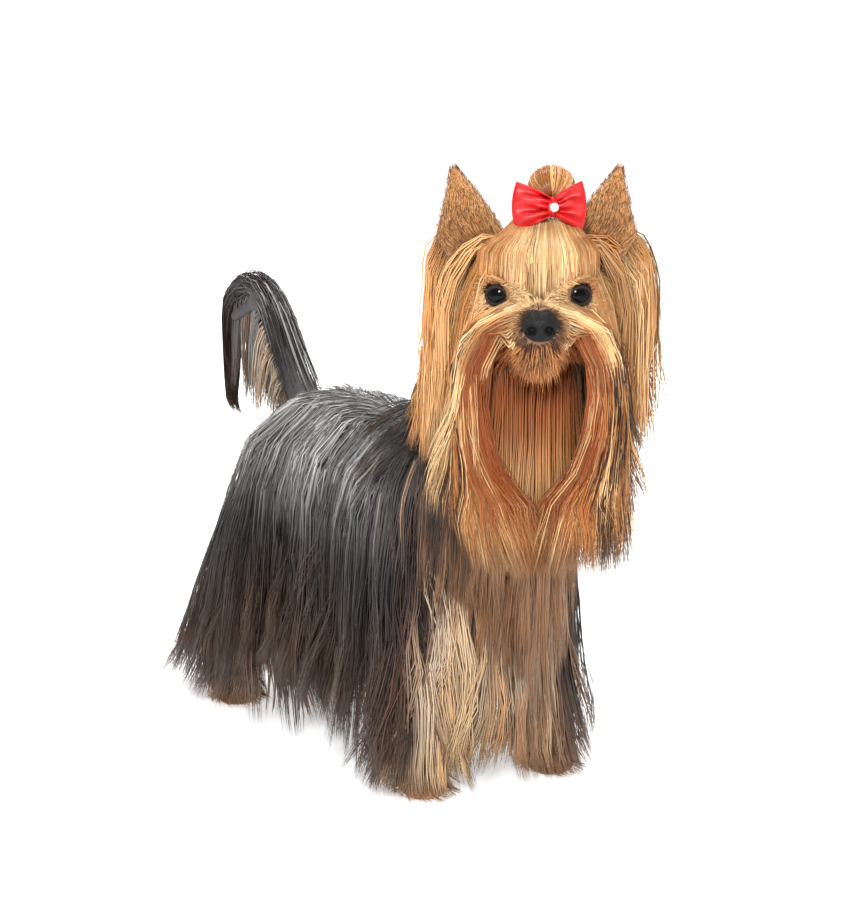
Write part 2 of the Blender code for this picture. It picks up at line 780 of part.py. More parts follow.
def build_topknot(look):
    x, y, z = KNOT_AT
    line, radii = [], []
    for height in np.linspace(-0.012, 0.0205, 10):
        line.append(head_point(x + 0.02 * height, y + 0.35 * max(height, 0), z + height))
        radius = knot_radius(height)
        radii.append((radius, radius * 0.80))
    across = np.array(head_vector(1, 0, 0))
    return tube("topknot", line, across, radii, sides=10, material=look["tan"])


def bow_loop(name, side, reach, height, depth, tilt, pleats, look=None):
    """A ribbon loop: out from the knot in front, folded over and back behind. It is pleated at the knot."""
    path = []
    for step in range(8):
        turn = math.pi * (step / 7)
        out = reach * (1 - abs(math.cos(turn)) ** 2.4) ** 0.8
        path.append((out, 0.0011 * math.cos(turn) + depth * math.cos(turn) * math.sin(turn) ** 0.7))
    grid = np.zeros((8, 5, 3))
    for r, (out, ahead) in enumerate(path):
        share = out / reach
        half = 0.0036 + (height / 2 - 0.0036) * share**0.75
        fold = 0.0010 * (1 - share) ** 0.5 * math.sin(math.pi * min(share * 3, 1))
        for c in range(5):
            v = 2 * c / 4 - 1
            ripple = fold * math.cos(pleats * math.pi * v) * math.copysign(1, ahead)
            bend = 0.0022 * share * (1 - v * v)
            x = side * (out + bend * share) * math.cos(tilt) - v * half * math.sin(tilt) * side * 0.35
            z = v * half * (1 - 0.05 * share) + out * math.sin(tilt)
            grid[r, c] = bow_point(x, -(ahead + ripple), z)
    if side < 0:
        grid = grid[:, ::-1]
    return sheet(name, grid, 0.0008, look)


BOW_AT = (0.0075, -0.0125, 0.0432)


def bow_point(x, y, z):
    """A point of the bow's own frame, which leans back with the forehead."""
    lean = math.radians(8)
    return head_point(
        BOW_AT[0] + x,
        BOW_AT[1] + y * math.cos(lean) + z * math.sin(lean) * 0.6,
        BOW_AT[2] + z * math.cos(lean) - y * math.sin(lean),
    )


def build_bow(look):
    """Two loops on the dog's right of the knot, one on its left, and a band and pearl between."""
    right = ball("bow_right", bow_point(-0.0042, 0, 0), (0.0022, 0.0022, 0.0044), turn=HEAD_TURN, rings=5, sides=8,
                 material=look["satin"])
    join(right, [bow_loop("loop", -1, 0.0182, 0.0262, 0.0032, 0.02, 2.0)])
    left = ball("bow_left", bow_point(0.0042, 0, 0), (0.0022, 0.0022, 0.0044), turn=HEAD_TURN, rings=5, sides=8,
                material=look["satin"])
    join(left, [bow_loop("loop", 1, 0.0150, 0.0268, 0.0036, 0.04, 1.5)])
    knot = ball("bow_knot", bow_point(0, 0, 0), (0.0032, 0.0048, 0.0052), turn=HEAD_TURN, rings=7, sides=10,
                material=look["satin"])
    pearl = ball("bow_pearl", bow_point(0.0006, -0.0062, -0.0004), (0.0023,) * 3, turn=HEAD_TURN, rings=6, sides=8,
                 material=look["pearl"])
    return right, left, knot, pearl


def grown(node, distance=TOUCH_GAP):
    """A copy of a closed mesh, swollen along its normals."""
    copy = new_object("copy", node.data.copy())
    normals = [v.normal.copy() for v in copy.data.vertices]
    for vertex, normal in zip(copy.data.vertices, normals):
        vertex.co += normal * distance
    return copy


def leg_locks(node, others):
    """Hair that rings the leg in two rows and falls to the floor, a little wider there."""
    form = FORMS[node.name]
    side = 1 if "left" in node.name else -1
    front = "front" in node.name
    locks = Locks(node, others, [(form, LEG_CORE_DEPTH)])
    high, low = form[0][0][:2]
    for share, layer, count, tip in ((0.74, 0.0024, 4, 0.008), (0.40 if front else 0.52, 0.0060, 6, 0.005)):
        middle = high + (low - high) * share
        roots, headings, drifts = [], [], []
        for i in range(count):
            turn = 2 * math.pi * (i + 0.5) / count
            ray = np.array((math.cos(turn), math.sin(turn), 0.0))
            roots.append(surface_point(form, -0.003, middle, ray))
            back = 0.0 if front else 0.5
            ahead = 0.05 if ray[1] > 0 else 0.14
            headings.append((ray[0], ray[1] + back, -0.9))
            drifts.append((0.05 * ray[0] + 0.02 * side, ahead * ray[1] + 0.42 * back * (0.8 + 0.5 * ray[1]), -1.0))
        locks.hang(roots, headings, tip, layer, drift=np.array(drifts), width=0.0200, segments=4)
    locks.fuse()


def leg_coat(depth=0.0):
    """The space that the legs' hair takes, for the hair of the body to lie over."""
    coat = []
    for side in (1, -1):
        x = side * (LEG_X + 0.001)
        coat.append(([lump((side * 0.037, -0.098, 0.110), (x, FRONT_LEG_Y, 0.0), 0.017, 0.021)], 0.01))
        coat.append(([lump((side * 0.037, STIFLE_Y, 0.110), (x, HIND_LEG_Y + 0.022, 0.0), 0.023, 0.027)], 0.01))
    return [(form, depth) for form in coat]


def torso_locks(node, others):
    """Two tiers from the sides and the spine, the hair behind the tail and the front of the chest."""
    form = FORMS["torso"]
    body = [(form, CORE_DEPTH + 0.0006)]
    locks = Locks(node, others, body + leg_coat())
    for side in (1, -1):
        under = np.linspace(-0.092, 0.076, 10)
        roots = [surface_point(form, -0.003, (0, y, 0.150), (side * 0.95, 0, 0.20)) for y in under]
        headings = [(side * 0.6, np.interp(y, (-0.09, 0.09), (-0.25, 0.45)), -0.8) for y in under]
        tips = np.interp(under, (-0.070, -0.050, 0.030, 0.055), (0.006, 0.034, 0.034, 0.005))
        drift = [(0, np.interp(y, (-0.09, 0.00, 0.09), (-0.03, 0.04, 0.20)), -1) for y in under]
        locks.hang(roots, headings, tips, 0.0024, drift=np.array(drift), width=0.0175, segments=4)
        upper = np.linspace(-0.056, 0.052, 8)
        roots = [surface_point(form, -0.001, (0, y, 0.150), (-side * 0.02, 0, 1.0)) for y in upper]
        headings = [(side, np.interp(y, (-0.08, 0.0, 0.05), (-0.25, 0.20, 0.60)), 0.30) for y in upper]
        tips = np.interp(upper, (-0.066, -0.046, 0.025, 0.050), (0.004, 0.028, 0.028, 0.004))
        drift = [(0, np.interp(y, (-0.08, 0.01, 0.05), (-0.03, 0.06, 0.20)), -1) for y in upper]
        locks.hang(roots, headings, tips, 0.0062, drift=np.array(drift), width=0.0195, limp=0.0100, segments=5)
    rump_x = np.array((-0.026, -0.016, 0.016, 0.026))
    roots = [surface_point(form, -0.002, (x * 0.5, 0.050, 0.150), (0.70 * x / 0.026, 1, 0.45)) for x in rump_x]
    headings = [(x / 0.026 * 0.45, 0.9, 0.0) for x in rump_x]
    locks.hang(roots, headings, 0.006, 0.0024, drift=(0, 0.14, -1.0), width=0.0175, limp=0.0080, segments=4)
    bib_x = np.linspace(-0.048, 0.048, 7)
    roots = [surface_point(form, -0.003, (x * 0.6, -0.080, 0.138), (x / 0.040 * 0.8, -1, 0.45)) for x in bib_x]
    headings = [(x / 0.040 * 0.5, -0.8, -0.5) for x in bib_x]
    tips = np.interp(np.abs(bib_x), (0, 0.02, 0.04), (0.030, 0.012, 0.006))
    locks.hang(roots, headings, tips, 0.0024, drift=(0, -0.02, -1.0), width=0.0175, segments=4)
    locks.fuse()


def neck_locks(node, others):
    """Two rings of hair that fall over the chest, the shoulders and the withers."""
    form = FORMS["neck"]
    body = [(form, CORE_DEPTH + 0.0006), (FORMS["torso"], CORE_DEPTH + 0.0100)]
    locks = Locks(node, others, body + leg_coat(0.0085))
    for level, layer, tip, count, twist in (
        ((0.000, -0.104, 0.184), 0.0024, 0.095, 8, 0.0), ((0.001, -0.120, 0.212), 0.0062, 0.110, 8, 0.5),
    ):
        roots, headings, tips = [], [], []
        for i in range(count):
            turn = 2 * math.pi * (i + twist) / count
            if math.sin(turn) > 0.75:
                continue
            ray = unit(np.array((math.cos(turn), math.sin(turn), 0.10 + 0.50 * math.sin(turn))))
            roots.append(surface_point(form, -0.004, level, ray))
            headings.append(ray + (0, 0, -0.5))
            tips.append(tip + 0.100 * max(0.0, math.sin(turn)) + 0.035 * abs(math.cos(turn)))
        locks.hang(roots, headings, np.array(tips), layer, width=0.0175, segments=4)
    locks.fuse()


def head_obstacles():
    return [
        (FORMS["head"], HEAD_CORE_DEPTH + 0.0006), (FORMS["neck"], CORE_DEPTH + 0.0095),
        (FORMS["torso"], CORE_DEPTH + 0.0140), *leg_coat(0.0110),
    ]


def head_root(inside, ray, depth=-0.004):
    """A root point given in the head's own frame."""
    return surface_point(FORMS["head"], depth, head_point(*inside), head_vector(*ray))


def head_locks(node, others):
    """Forehead drawn up to the knot, cheeks, moustache and beard that hang past the chest, and nape."""
    locks = Locks(node, others, head_obstacles())
    knot = np.array(head_point(KNOT_AT[0], -0.010, 0.030))
    spots = np.linspace(-0.029, 0.029, 6)
    roots = [head_root((x * 0.6, 0.0, 0.006), (x / 0.03, -1.0, 0.10), -0.003) for x in spots]
    toward = [knot - root for root in roots]
    lengths = [np.linalg.norm(way) * 1.02 for way in toward]
    lift = [unit(way) + head_vector(0, -0.5, 0.4) for way in toward]
    locks.add(roots, lift, lengths, 0.0005, drift=unit(np.array(toward)), width=0.0134, limp=0.0059, segments=4,
              thickness=0.0024)
    for side in (1, -1):
        cheek = np.linspace(-0.013, 0.032, 5)
        roots = [head_root((side * 0.010, y * 0.6, 0.0), (side, 0.55 * y / 0.034, -0.05)) for y in cheek]
        headings = [head_vector(side, 0.8 * y / 0.034, -0.25) for y in cheek]
        locks.hang(roots, headings, np.array((0.122, 0.128, 0.140, 0.175, 0.222)), 0.0022, width=0.0175,
                   limp=0.0084, segments=4)
        crest = np.array((-0.022, -0.012, 0.026))
        roots = [head_root((0, y * 0.6, 0.008), (side * 0.70, 0.50 * y / 0.030, 0.70)) for y in crest]
        headings = [head_vector(side, 0.5 * y / 0.030, -0.1) for y in crest]
        locks.hang(roots, headings, np.array((0.132, 0.145, 0.226)), 0.0058, width=0.0165, limp=0.0126,
                   segments=5)
        bridge = np.linspace(-0.035, -0.017, 3)
        roots = [head_root((side * 0.004, y, -0.012), (side * 0.90, 0, 0.10), -0.003) for y in bridge]
        headings = [head_vector(side, -0.28, -0.20) for y in bridge]
        locks.hang(roots, headings, np.linspace(0.142, 0.124, 3), 0.0058, width=0.0145, limp=0.0118, segments=5,
                   drift=head_vector(-side * 0.13, 0.0, -1.0))
        lip = np.linspace(-0.040, -0.024, 2)
        roots = [head_root((side * 0.004, y, -0.014), (side, 0, 0.0), -0.003) for y in lip]
        headings = [head_vector(side, -0.30, -0.35) for y in lip]
        locks.hang(roots, headings, np.array((0.165, 0.150)), 0.0022, width=0.0140, limp=0.0076, segments=4,
                   drift=head_vector(-side * 0.10, 0.0, -1.0))
    chin = np.linspace(-0.008, 0.008, 2)
    roots = [head_root((x * 0.5, -0.030, -0.022), (x / 0.010 * 0.7, -0.35, -0.8), -0.003) for x in chin]
    headings = [head_vector(x / 0.010 * 0.4, -0.45, -0.8) for x in chin]
    locks.hang(roots, headings, 0.132, 0.0020, width=0.0150, limp=0.0100, segments=5)
    nape = np.linspace(-0.022, 0.022, 3)
    roots = [head_root((x * 0.5, 0.010, 0.004), (x / 0.024 * 0.7, 1.0, 0.25)) for x in nape]
    headings = [head_vector(x / 0.024 * 0.4, 1.0, -0.3) for x in nape]
    locks.hang(roots, headings, 0.224, 0.0030, width=0.0200, limp=0.0059, segments=4)
    locks.fuse()


def ear_locks(node, others):
    """Hair that grows from the outer edge and the back of the ear and falls beside the head."""
    side = 1 if "left" in node.name else -1
    obstacles = [(form, depth + 0.0045) for form, depth in head_obstacles()]
    locks = Locks(node, others, obstacles)
    spots = (
        ((0.0488, 0.0003, 0.0262), (0.9, -0.30, 0.0), 0.186), ((0.0480, 0.0045, 0.0240), (1.0, 0.30, 0.0), 0.178),
        ((0.0405, 0.0105, 0.0260), (0.6, 0.90, 0.0), 0.210), ((0.0470, 0.0000, 0.0190), (0.9, -0.55, -0.1), 0.196),
    )
    roots = [head_point(side * x, y, z) for (x, y, z), _, _ in spots]
    headings = [head_vector(side * x, y, z) for _, (x, y, z), _ in spots]
    tips = np.array([tip for _, _, tip in spots])
    locks.hang(roots, headings, tips, 0.0, width=0.0165, limp=0.0126, segments=5, thickness=0.0024)
    locks.fuse()


def topknot_locks(node, others):
    locks = Locks(node, others, [(knot_form(), 0.0004)] + head_obstacles())
    spread = np.linspace(-1.0, 1.0, 5)
    roots = [head_point(*np.add(KNOT_AT, (0.006 * s, 0.002, 0.009))) for s in spread]
    headings = [head_vector(0.7 * s, 1.0, 0.0) for s in spread]
    locks.add(roots, headings, vary([0.026] * 5, 0.06), 0.0004, width=0.0075, limp=0.0050, segments=4, thickness=0.0020,
              drift=unit(np.array(head_vector(0, 0.45, -1.0))))
    locks.fuse()


def knot_form():
    x, y, z = KNOT_AT
    return [lump(head_point(x, y + 0.003, z + 0.0085), head_point(x, y + 0.004, z + 0.0090), KNOT_DOME - 0.001)], 0.01


def tail_locks(node, others):
    """Hair that hangs from both sides and the back of the tail."""
    form = FORMS["tail"]
    locks = Locks(node, others, [(form, LEG_CORE_DEPTH + 0.0004), (FORMS["torso"], CORE_DEPTH + 0.010)])
    base, top = np.array(TAIL_ROOT), np.array(TAIL_TOP)
    roots, headings, tips = [], [], []
    for share in (0.28, 0.50, 0.72, 0.90):
        for side in (1, -1):
            middle = base + (top - base) * share
            ray = unit(np.array((0.75 * side, 0.65, -0.25)))
            roots.append(surface_point(form, -0.003, middle, ray))
            headings.append((0.45 * side, 0.7, -0.5))
            tips.append(0.150 + 0.020 * share)
    locks.hang(roots, headings, np.array(tips), 0.0006, width=0.0130, limp=0.0050, segments=4, thickness=0.0022,
               drift=(0, 0.04, -1.0))
    locks.fuse()


def plume_locks(node, others):
    """Long hair that arches over from the tail's end and hangs, its tips turned in."""
    form = FORMS["tail_plume"]
    locks = Locks(node, others, [(form, LEG_CORE_DEPTH + 0.0004)])
    top, end = np.array(TAIL_TOP), np.array(TAIL_END)
    roots, headings, tips = [], [], []
    for share in (0.15, 0.50, 0.85):
        for tilt in (-0.5, 0.0, 0.5):
            middle = top + (end - top) * share
            roots.append(surface_point(form, -0.003, middle, unit(np.array((tilt, 0.35, 0.7)))))
            headings.append((tilt * 0.10, 1.0, 0.30 - 0.4 * share))
            tips.append(0.158 + 0.014 * abs(tilt) + 0.006 * share)
    locks.hang(roots, headings, np.array(tips), 0.0004, width=0.0100, limp=0.0080, segments=5, thickness=0.0022,
               drift=(0, -0.42, -1.0))
    locks.fuse()


def build_face(head, nose):
    """Lids, lips and the mouth line, and the places where the eyes and the nose sit."""
    rims, sockets = zip(*(lids(side) for side in (1, -1)))
    across = np.array(head_vector(0, 0, 1))
    lips = [
        tube("upper_lip", mouth_arc(0.0010, 0.0016), across, 0.0015, sides=5),
        tube("lower_lip", mouth_arc(0.0022, -0.0018), across, 0.0014, sides=5),
    ]
    join(head, [*rims, *lips])
    for socket, opening in sockets:
        cut(head, socket, opening)
    cut(head, tube("mouth_line", mouth_arc(0.0, 0.0), across, (0.0005, 0.0024), sides=4))
    cut(head, grown(nose))


def build_cores(look):
    """Every node without its hair. Each is cut so that it meets the one that it grows from, face to face."""
    node = {
        "torso": torso_shell(look),
        "head": head_shell(look),
        "neck": neck_shell(look),
        "tail": tail_shell(look),
        "tail_plume": plume_shell(look),
        "topknot": build_topknot(look),
        "nose": build_nose(look),
    }
    for leg in LEGS:
        node[leg] = leg_shell(leg, look["tan"])
    for side, word in ((1, "left"), (-1, "right")):
        node["eye_" + word] = build_eye(side, look)
        node["ear_" + word] = build_ear(side, look)
    node["bow_right"], node["bow_left"], node["bow_knot"], node["bow_pearl"] = build_bow(look)
    meetings = (
        ("torso", ("neck", "tail", *LEGS)),
        ("head", ("neck", "ear_left", "ear_right", "topknot", "bow_knot", "bow_left", "bow_right")),
        ("tail", ("tail_plume",)),
        ("ear_left", ("topknot",)),
        ("ear_right", ("topknot",)),
        ("topknot", ("bow_knot", "bow_left", "bow_right")),
        ("bow_knot", ("bow_left", "bow_right", "bow_pearl")),
    )
    for first, others in meetings:
        for other in others:
            cut(node[other], grown(node[first]))
    build_face(node["head"], node["nose"])
    return node


def main():
    for old in list(bpy.data.objects):
        bpy.data.objects.remove(old)
    random.seed(SEED)
    look = {
        "steel": finish_material("steel_hair", (0.09, 0.09, 0.10), 0.42),
        "black": finish_material("black_hair", (0.012, 0.011, 0.012), 0.42),
        "tan": finish_material("tan_hair", (0.50, 0.27, 0.11), 0.42),
        "ear": finish_material("ear_fur", (0.36, 0.18, 0.08), 0.6),
        "nose": finish_material("nose_leather", (0.010, 0.009, 0.010), 0.35),
        "eye": finish_material("eye_gloss", (0.008, 0.006, 0.005), 0.04),
        "satin": finish_material("red_satin", (0.62, 0.012, 0.010), 0.28),
        "pearl": finish_material("pearl", (0.78, 0.72, 0.66), 0.18),
    }
    node = build_cores(look)
    for leg in LEGS:
        leg_locks(node[leg], [node["torso"]])
    torso_locks(node["torso"], [node[name] for name in ("neck", "head", "tail", "tail_plume", *LEGS)])
    neck_locks(node["neck"], [node[name] for name in ("torso", "head", *LEGS)])
    face = [node[name] for name in ("nose", "eye_left", "eye_right", "bow_left", "bow_right", "bow_knot", "topknot")]
    body = [node[name] for name in ("torso", "neck", *LEGS)]
    head_locks(node["head"], [*face, *body, node["ear_left"], node["ear_right"]])
    for word in ("left", "right"):
        ear_locks(node["ear_" + word], [*face, *body, node["head"]])
    topknot_locks(node["topknot"], [node[name] for name in ("head", "ear_left", "ear_right", "bow_left", "bow_right")])
    tail_locks(node["tail"], [node["torso"], node["tail_plume"]])
    plume_locks(node["tail_plume"], [node["torso"], node["tail"]])
    for made in node.values():
        for vertex in made.data.vertices:
            vertex.co -= Vector((*MIDDLE, 0.0))


if __name__ == "__main__":
    main()
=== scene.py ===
"""Looks of a yorkshire terrier in full show coat, with a red bow.

The coat is mesh: thousands of thin strands that leave the skin, lie over the
body and hang. The strands, the skin and the CAD solids come from the same
blended lumps. All forms are laid out in the study frame, in which the dog's
withers are near the origin, and each piece is moved from there to the row frame.
"""

import math

import bpy
import numpy as np
from bpy.props import FloatProperty, FloatVectorProperty, IntProperty, PointerProperty
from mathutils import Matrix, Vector
from mathutils.kdtree import KDTree


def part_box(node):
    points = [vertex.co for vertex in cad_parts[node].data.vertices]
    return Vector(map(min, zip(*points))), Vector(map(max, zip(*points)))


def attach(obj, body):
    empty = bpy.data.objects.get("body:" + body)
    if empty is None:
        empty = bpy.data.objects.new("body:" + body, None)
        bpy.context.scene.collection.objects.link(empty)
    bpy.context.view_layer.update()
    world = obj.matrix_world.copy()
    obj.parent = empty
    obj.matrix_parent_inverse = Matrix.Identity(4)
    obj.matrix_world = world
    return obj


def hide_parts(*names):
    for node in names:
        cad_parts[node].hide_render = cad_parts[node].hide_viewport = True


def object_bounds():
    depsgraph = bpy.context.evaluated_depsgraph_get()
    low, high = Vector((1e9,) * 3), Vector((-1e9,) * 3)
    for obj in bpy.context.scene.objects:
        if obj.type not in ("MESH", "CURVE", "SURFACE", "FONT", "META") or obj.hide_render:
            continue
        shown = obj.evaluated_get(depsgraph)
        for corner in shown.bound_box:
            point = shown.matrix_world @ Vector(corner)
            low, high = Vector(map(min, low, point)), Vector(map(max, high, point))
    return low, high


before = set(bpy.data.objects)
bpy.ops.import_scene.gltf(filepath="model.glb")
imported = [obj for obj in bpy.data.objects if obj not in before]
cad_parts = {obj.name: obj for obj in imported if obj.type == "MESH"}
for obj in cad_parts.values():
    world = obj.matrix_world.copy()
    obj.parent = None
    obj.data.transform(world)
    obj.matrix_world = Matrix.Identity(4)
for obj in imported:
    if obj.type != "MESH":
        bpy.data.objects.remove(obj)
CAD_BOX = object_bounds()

bl_info = {
    "name": "Yorkshire terrier",
    "version": (1, 0, 0),
    "blender": (4, 5, 0),
    "location": "3D View > Sidebar > Terrier",
    "description": "Skin, coat, face and bow of a yorkshire terrier in show coat",
    "category": "Object",
}

SEED = 11
DOWN = np.array((0.0, 0.0, -1.0))

# Body sizes at the skin, as in the CAD source
BACK_HEIGHT = 0.190
CHEST_RADIUS = 0.044
LOIN_RADIUS = 0.036
CROUP_RADIUS = 0.031
FRONT_LEG_Y = -0.104
HIND_LEG_Y = 0.100
STIFLE_Y = 0.058
LEG_X = 0.041
WRIST_HEIGHT = 0.040
HOCK_HEIGHT = 0.055
TAIL_ROOT = (0.0, 0.072, 0.172)
TAIL_TOP = (-0.004, 0.124, 0.236)
TAIL_END = (-0.008, 0.150, 0.222)
TAIL_RADIUS = 0.0085
HEAD_CENTRE = (0.003, -0.155, 0.276)
HEAD_TURN = math.radians(-32)
SKULL_RADIUS = 0.0295
MUZZLE_RADIUS = 0.0126
EYE_SPACING = 0.0425
EYE_RADIUS = 0.0085
EYE_FORWARD = 0.0295
NOSE_SIZE = (0.0190, 0.0150, 0.0148)
NOSE_AT = (0, -0.0525, -0.0118)
KNOT_AT = (0.0055, -0.0035, 0.0430)
KNOT_WAIST = 0.0055
KNOT_DOME = 0.0125
BOW_AT = (0.0075, -0.0125, 0.0432)
PEARL_AT = (0.0006, -0.0062, -0.0004)
PAW_LENGTH = 0.029

# Heights of the tips of the coat over the floor
FRINGE_HEIGHT = 0.026
FLOOR_HAIR = 0.0035

# Camera, in the study frame
CAMERA_AT = (-0.83478, -1.38774, 0.49393)
CAMERA_AIM = (0.048, 0.025, 0.155)
FOCAL_PIXELS = 2924
PICTURE_HEIGHT = 900


def unit(vectors):
    lengths = np.linalg.norm(vectors, axis=-1, keepdims=True)
    return vectors / np.maximum(lengths, 1e-9)


def smooth(values, low, high):
    share = np.clip((np.asarray(values, float) - low) / (high - low), 0, 1)
    return share * share * (3 - 2 * share)


def head_point(x, y, z):
    """A point of the head's own frame, in which the face looks along -Y."""
    return tuple(np.array(HEAD_CENTRE) + head_vector(x, y, z))


def head_vector(x, y, z):
    c, s = math.cos(HEAD_TURN), math.sin(HEAD_TURN)
    return np.stack(np.broadcast_arrays(c * x - s * y, s * x + c * y, z), axis=-1).astype(float)


def in_head(points):
    """Points of the study frame, in the head's own frame."""
    c, s = math.cos(HEAD_TURN), math.sin(HEAD_TURN)
    way = np.asarray(points) - HEAD_CENTRE
    return np.stack((c * way[..., 0] + s * way[..., 1], c * way[..., 1] - s * way[..., 0], way[..., 2]), axis=-1)


def from_head(local):
    """Points of the head's own frame, in the study frame."""
    return np.array(HEAD_CENTRE) + head_vector(local[..., 0], local[..., 1], local[..., 2])


def bow_point(x, y, z):
    """A point of the bow's own frame, which leans back with the forehead."""
    lean = math.radians(8)
    return head_point(
        BOW_AT[0] + x,
        BOW_AT[1] + y * math.cos(lean) + z * math.sin(lean) * 0.6,
        BOW_AT[2] + z * math.cos(lean) - y * math.sin(lean),
    )


def study_to_row():
    """The move from the study frame to the row frame, read from where the frame holds the pearl."""
    low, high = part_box("bow_pearl")
    return np.array((low + high) / 2) - np.array(bow_point(*PEARL_AT))


TO_ROW = study_to_row()


def lump(start, end, start_radius, end_radius=None):
    return np.array(start, float), np.array(end, float), start_radius, end_radius or start_radius


def both_sides(start, end, start_radius, end_radius):
    return [
        lump((side * start[0], *start[1:]), (side * end[0], *end[1:]), start_radius, end_radius)
        for side in (1, -1)
    ]


def torso_lumps():
    chest_z = BACK_HEIGHT - CHEST_RADIUS
    loin_z = BACK_HEIGHT - LOIN_RADIUS
    croup_z = BACK_HEIGHT - CROUP_RADIUS - 0.004
    return [
        lump((0, -0.072, chest_z), (0, 0.000, chest_z + 0.003), CHEST_RADIUS, 0.041),
        lump((0, 0.000, chest_z + 0.003), (0, 0.038, loin_z), 0.041, LOIN_RADIUS),
        lump((0, 0.038, loin_z), (0, 0.056, croup_z), LOIN_RADIUS, CROUP_RADIUS),
        lump((0, -0.106, 0.142), (0, -0.090, 0.132), 0.029, 0.034),
        lump((0, -0.080, 0.166), (0, -0.060, 0.166), 0.023, 0.022),
        *both_sides((0.027, -0.090, 0.150), (0.036, -0.100, 0.116), 0.028, 0.018),
        *both_sides((0.022, 0.052, 0.144), (0.036, STIFLE_Y + 0.002, 0.104), 0.026, 0.019),
    ]


def paw_lumps(x, y):
    """A paw with four toes, whose upper leg ends at (x, y)."""
    lumps = [lump((x - 0.004, y - 0.004, 0.0092), (x + 0.004, y - 0.004, 0.0092), 0.0090)]
    for reach in (-1.45, -0.5, 0.5, 1.45):
        tip = y - 0.0160 + 0.0018 * reach**2
        lumps.append(lump((x + reach * 0.0046, y - 0.008, 0.0060), (x + reach * 0.0054, tip, 0.0048), 0.0044, 0.0040))
    return lumps


def front_leg_lumps(side):
    x = side * LEG_X
    return [
        lump((side * 0.036, -0.098, 0.122), (x, FRONT_LEG_Y, WRIST_HEIGHT), 0.017, 0.0095),
        lump((x, FRONT_LEG_Y, WRIST_HEIGHT), (x, FRONT_LEG_Y - 0.004, 0.012), 0.0095, 0.0105),
        *paw_lumps(x, FRONT_LEG_Y - 0.004),
    ]


def hind_leg_lumps(side):
    x = side * LEG_X
    return [
        lump((side * 0.034, STIFLE_Y - 0.003, 0.106), (x, HIND_LEG_Y + 0.008, HOCK_HEIGHT), 0.0185, 0.0095),
        lump((x, HIND_LEG_Y + 0.008, HOCK_HEIGHT), (x, HIND_LEG_Y + 0.002, 0.012), 0.0095, 0.0105),
        *paw_lumps(x, HIND_LEG_Y + 0.002),
    ]


def neck_lumps():
    return [
        lump((0, -0.090, 0.160), (0.001, -0.119, 0.204), 0.034, 0.028),
        lump((0.001, -0.119, 0.204), head_point(0, 0.004, -0.014), 0.028, 0.025),
    ]


def head_lumps():
    return [
        lump(head_point(0, 0.014, 0.001), head_point(0, -0.006, 0.0035), SKULL_RADIUS),
        lump(head_point(0.016, -0.008, -0.010), head_point(-0.016, -0.008, -0.010), 0.020),
        lump(head_point(0.010, -0.019, 0.0145), head_point(-0.010, -0.019, 0.0145), 0.0120),
        lump(head_point(0, -0.018, -0.010), head_point(0, -0.040, -0.0145), 0.0170, MUZZLE_RADIUS),
        lump(head_point(0, -0.014, -0.022), head_point(0, -0.036, -0.0290), 0.014, 0.0078),
    ]


FORMS = {
    "torso": (torso_lumps(), 0.016),
    "neck": (neck_lumps(), 0.010),
    "head": (head_lumps(), 0.006),
    "leg_front_left": (front_leg_lumps(1), 0.005),
    "leg_front_right": (front_leg_lumps(-1), 0.005),
    "leg_hind_left": (hind_leg_lumps(1), 0.005),
    "leg_hind_right": (hind_leg_lumps(-1), 0.005),
    "tail": ([lump(TAIL_ROOT, TAIL_TOP, 0.0100, 0.0050)], 0.006),
    "tail_plume": ([lump(TAIL_TOP, TAIL_END, 0.0048, 0.0030)], 0.006),
}
FORM_NAMES = tuple(FORMS)
LEGS = ("leg_front_left", "leg_front_right", "leg_hind_left", "leg_hind_right")
WORDS = {1: "left", -1: "right"}


def lump_distance(points, one):
    start, end, start_radius, end_radius = one
    axis = end - start
    along = np.clip(((points - start) @ axis) / max(axis @ axis, 1e-12), 0, 1)
    way = points - start - along[:, None] * axis
    return np.sqrt(np.einsum("ij,ij->i", way, way)) - start_radius - along * (end_radius - start_radius)


def blended(first, second, blend):
    mix = np.clip(0.5 + 0.5 * (second - first) / blend, 0, 1)
    return second * (1 - mix) + first * mix - blend * mix * (1 - mix)


def form_distance(points, form):
    """Distance from a form's skin, negative inside."""
    lumps, blend = form
    total = lump_distance(points, lumps[0])
    for one in lumps[1:]:
        total = blended(total, lump_distance(points, one), blend)
    return total


def skin_distance(points):
    """Distance from the whole body's skin."""
    total = form_distance(points, FORMS["torso"])
    for name in FORM_NAMES[1:]:
        total = blended(total, form_distance(points, FORMS[name]), 0.009)
    return total


def slope(points, distance, reach=0.0005):
    """A distance, and the unit direction in which it grows."""
    here = distance(points)
    return here, unit(np.stack([distance(points + reach * axis) - here for axis in np.eye(3)], axis=-1))


def clearance(obstacles):
    def distance(points):
        return np.min([form_distance(points, form) - depth for form, depth in obstacles], axis=0)

    return distance


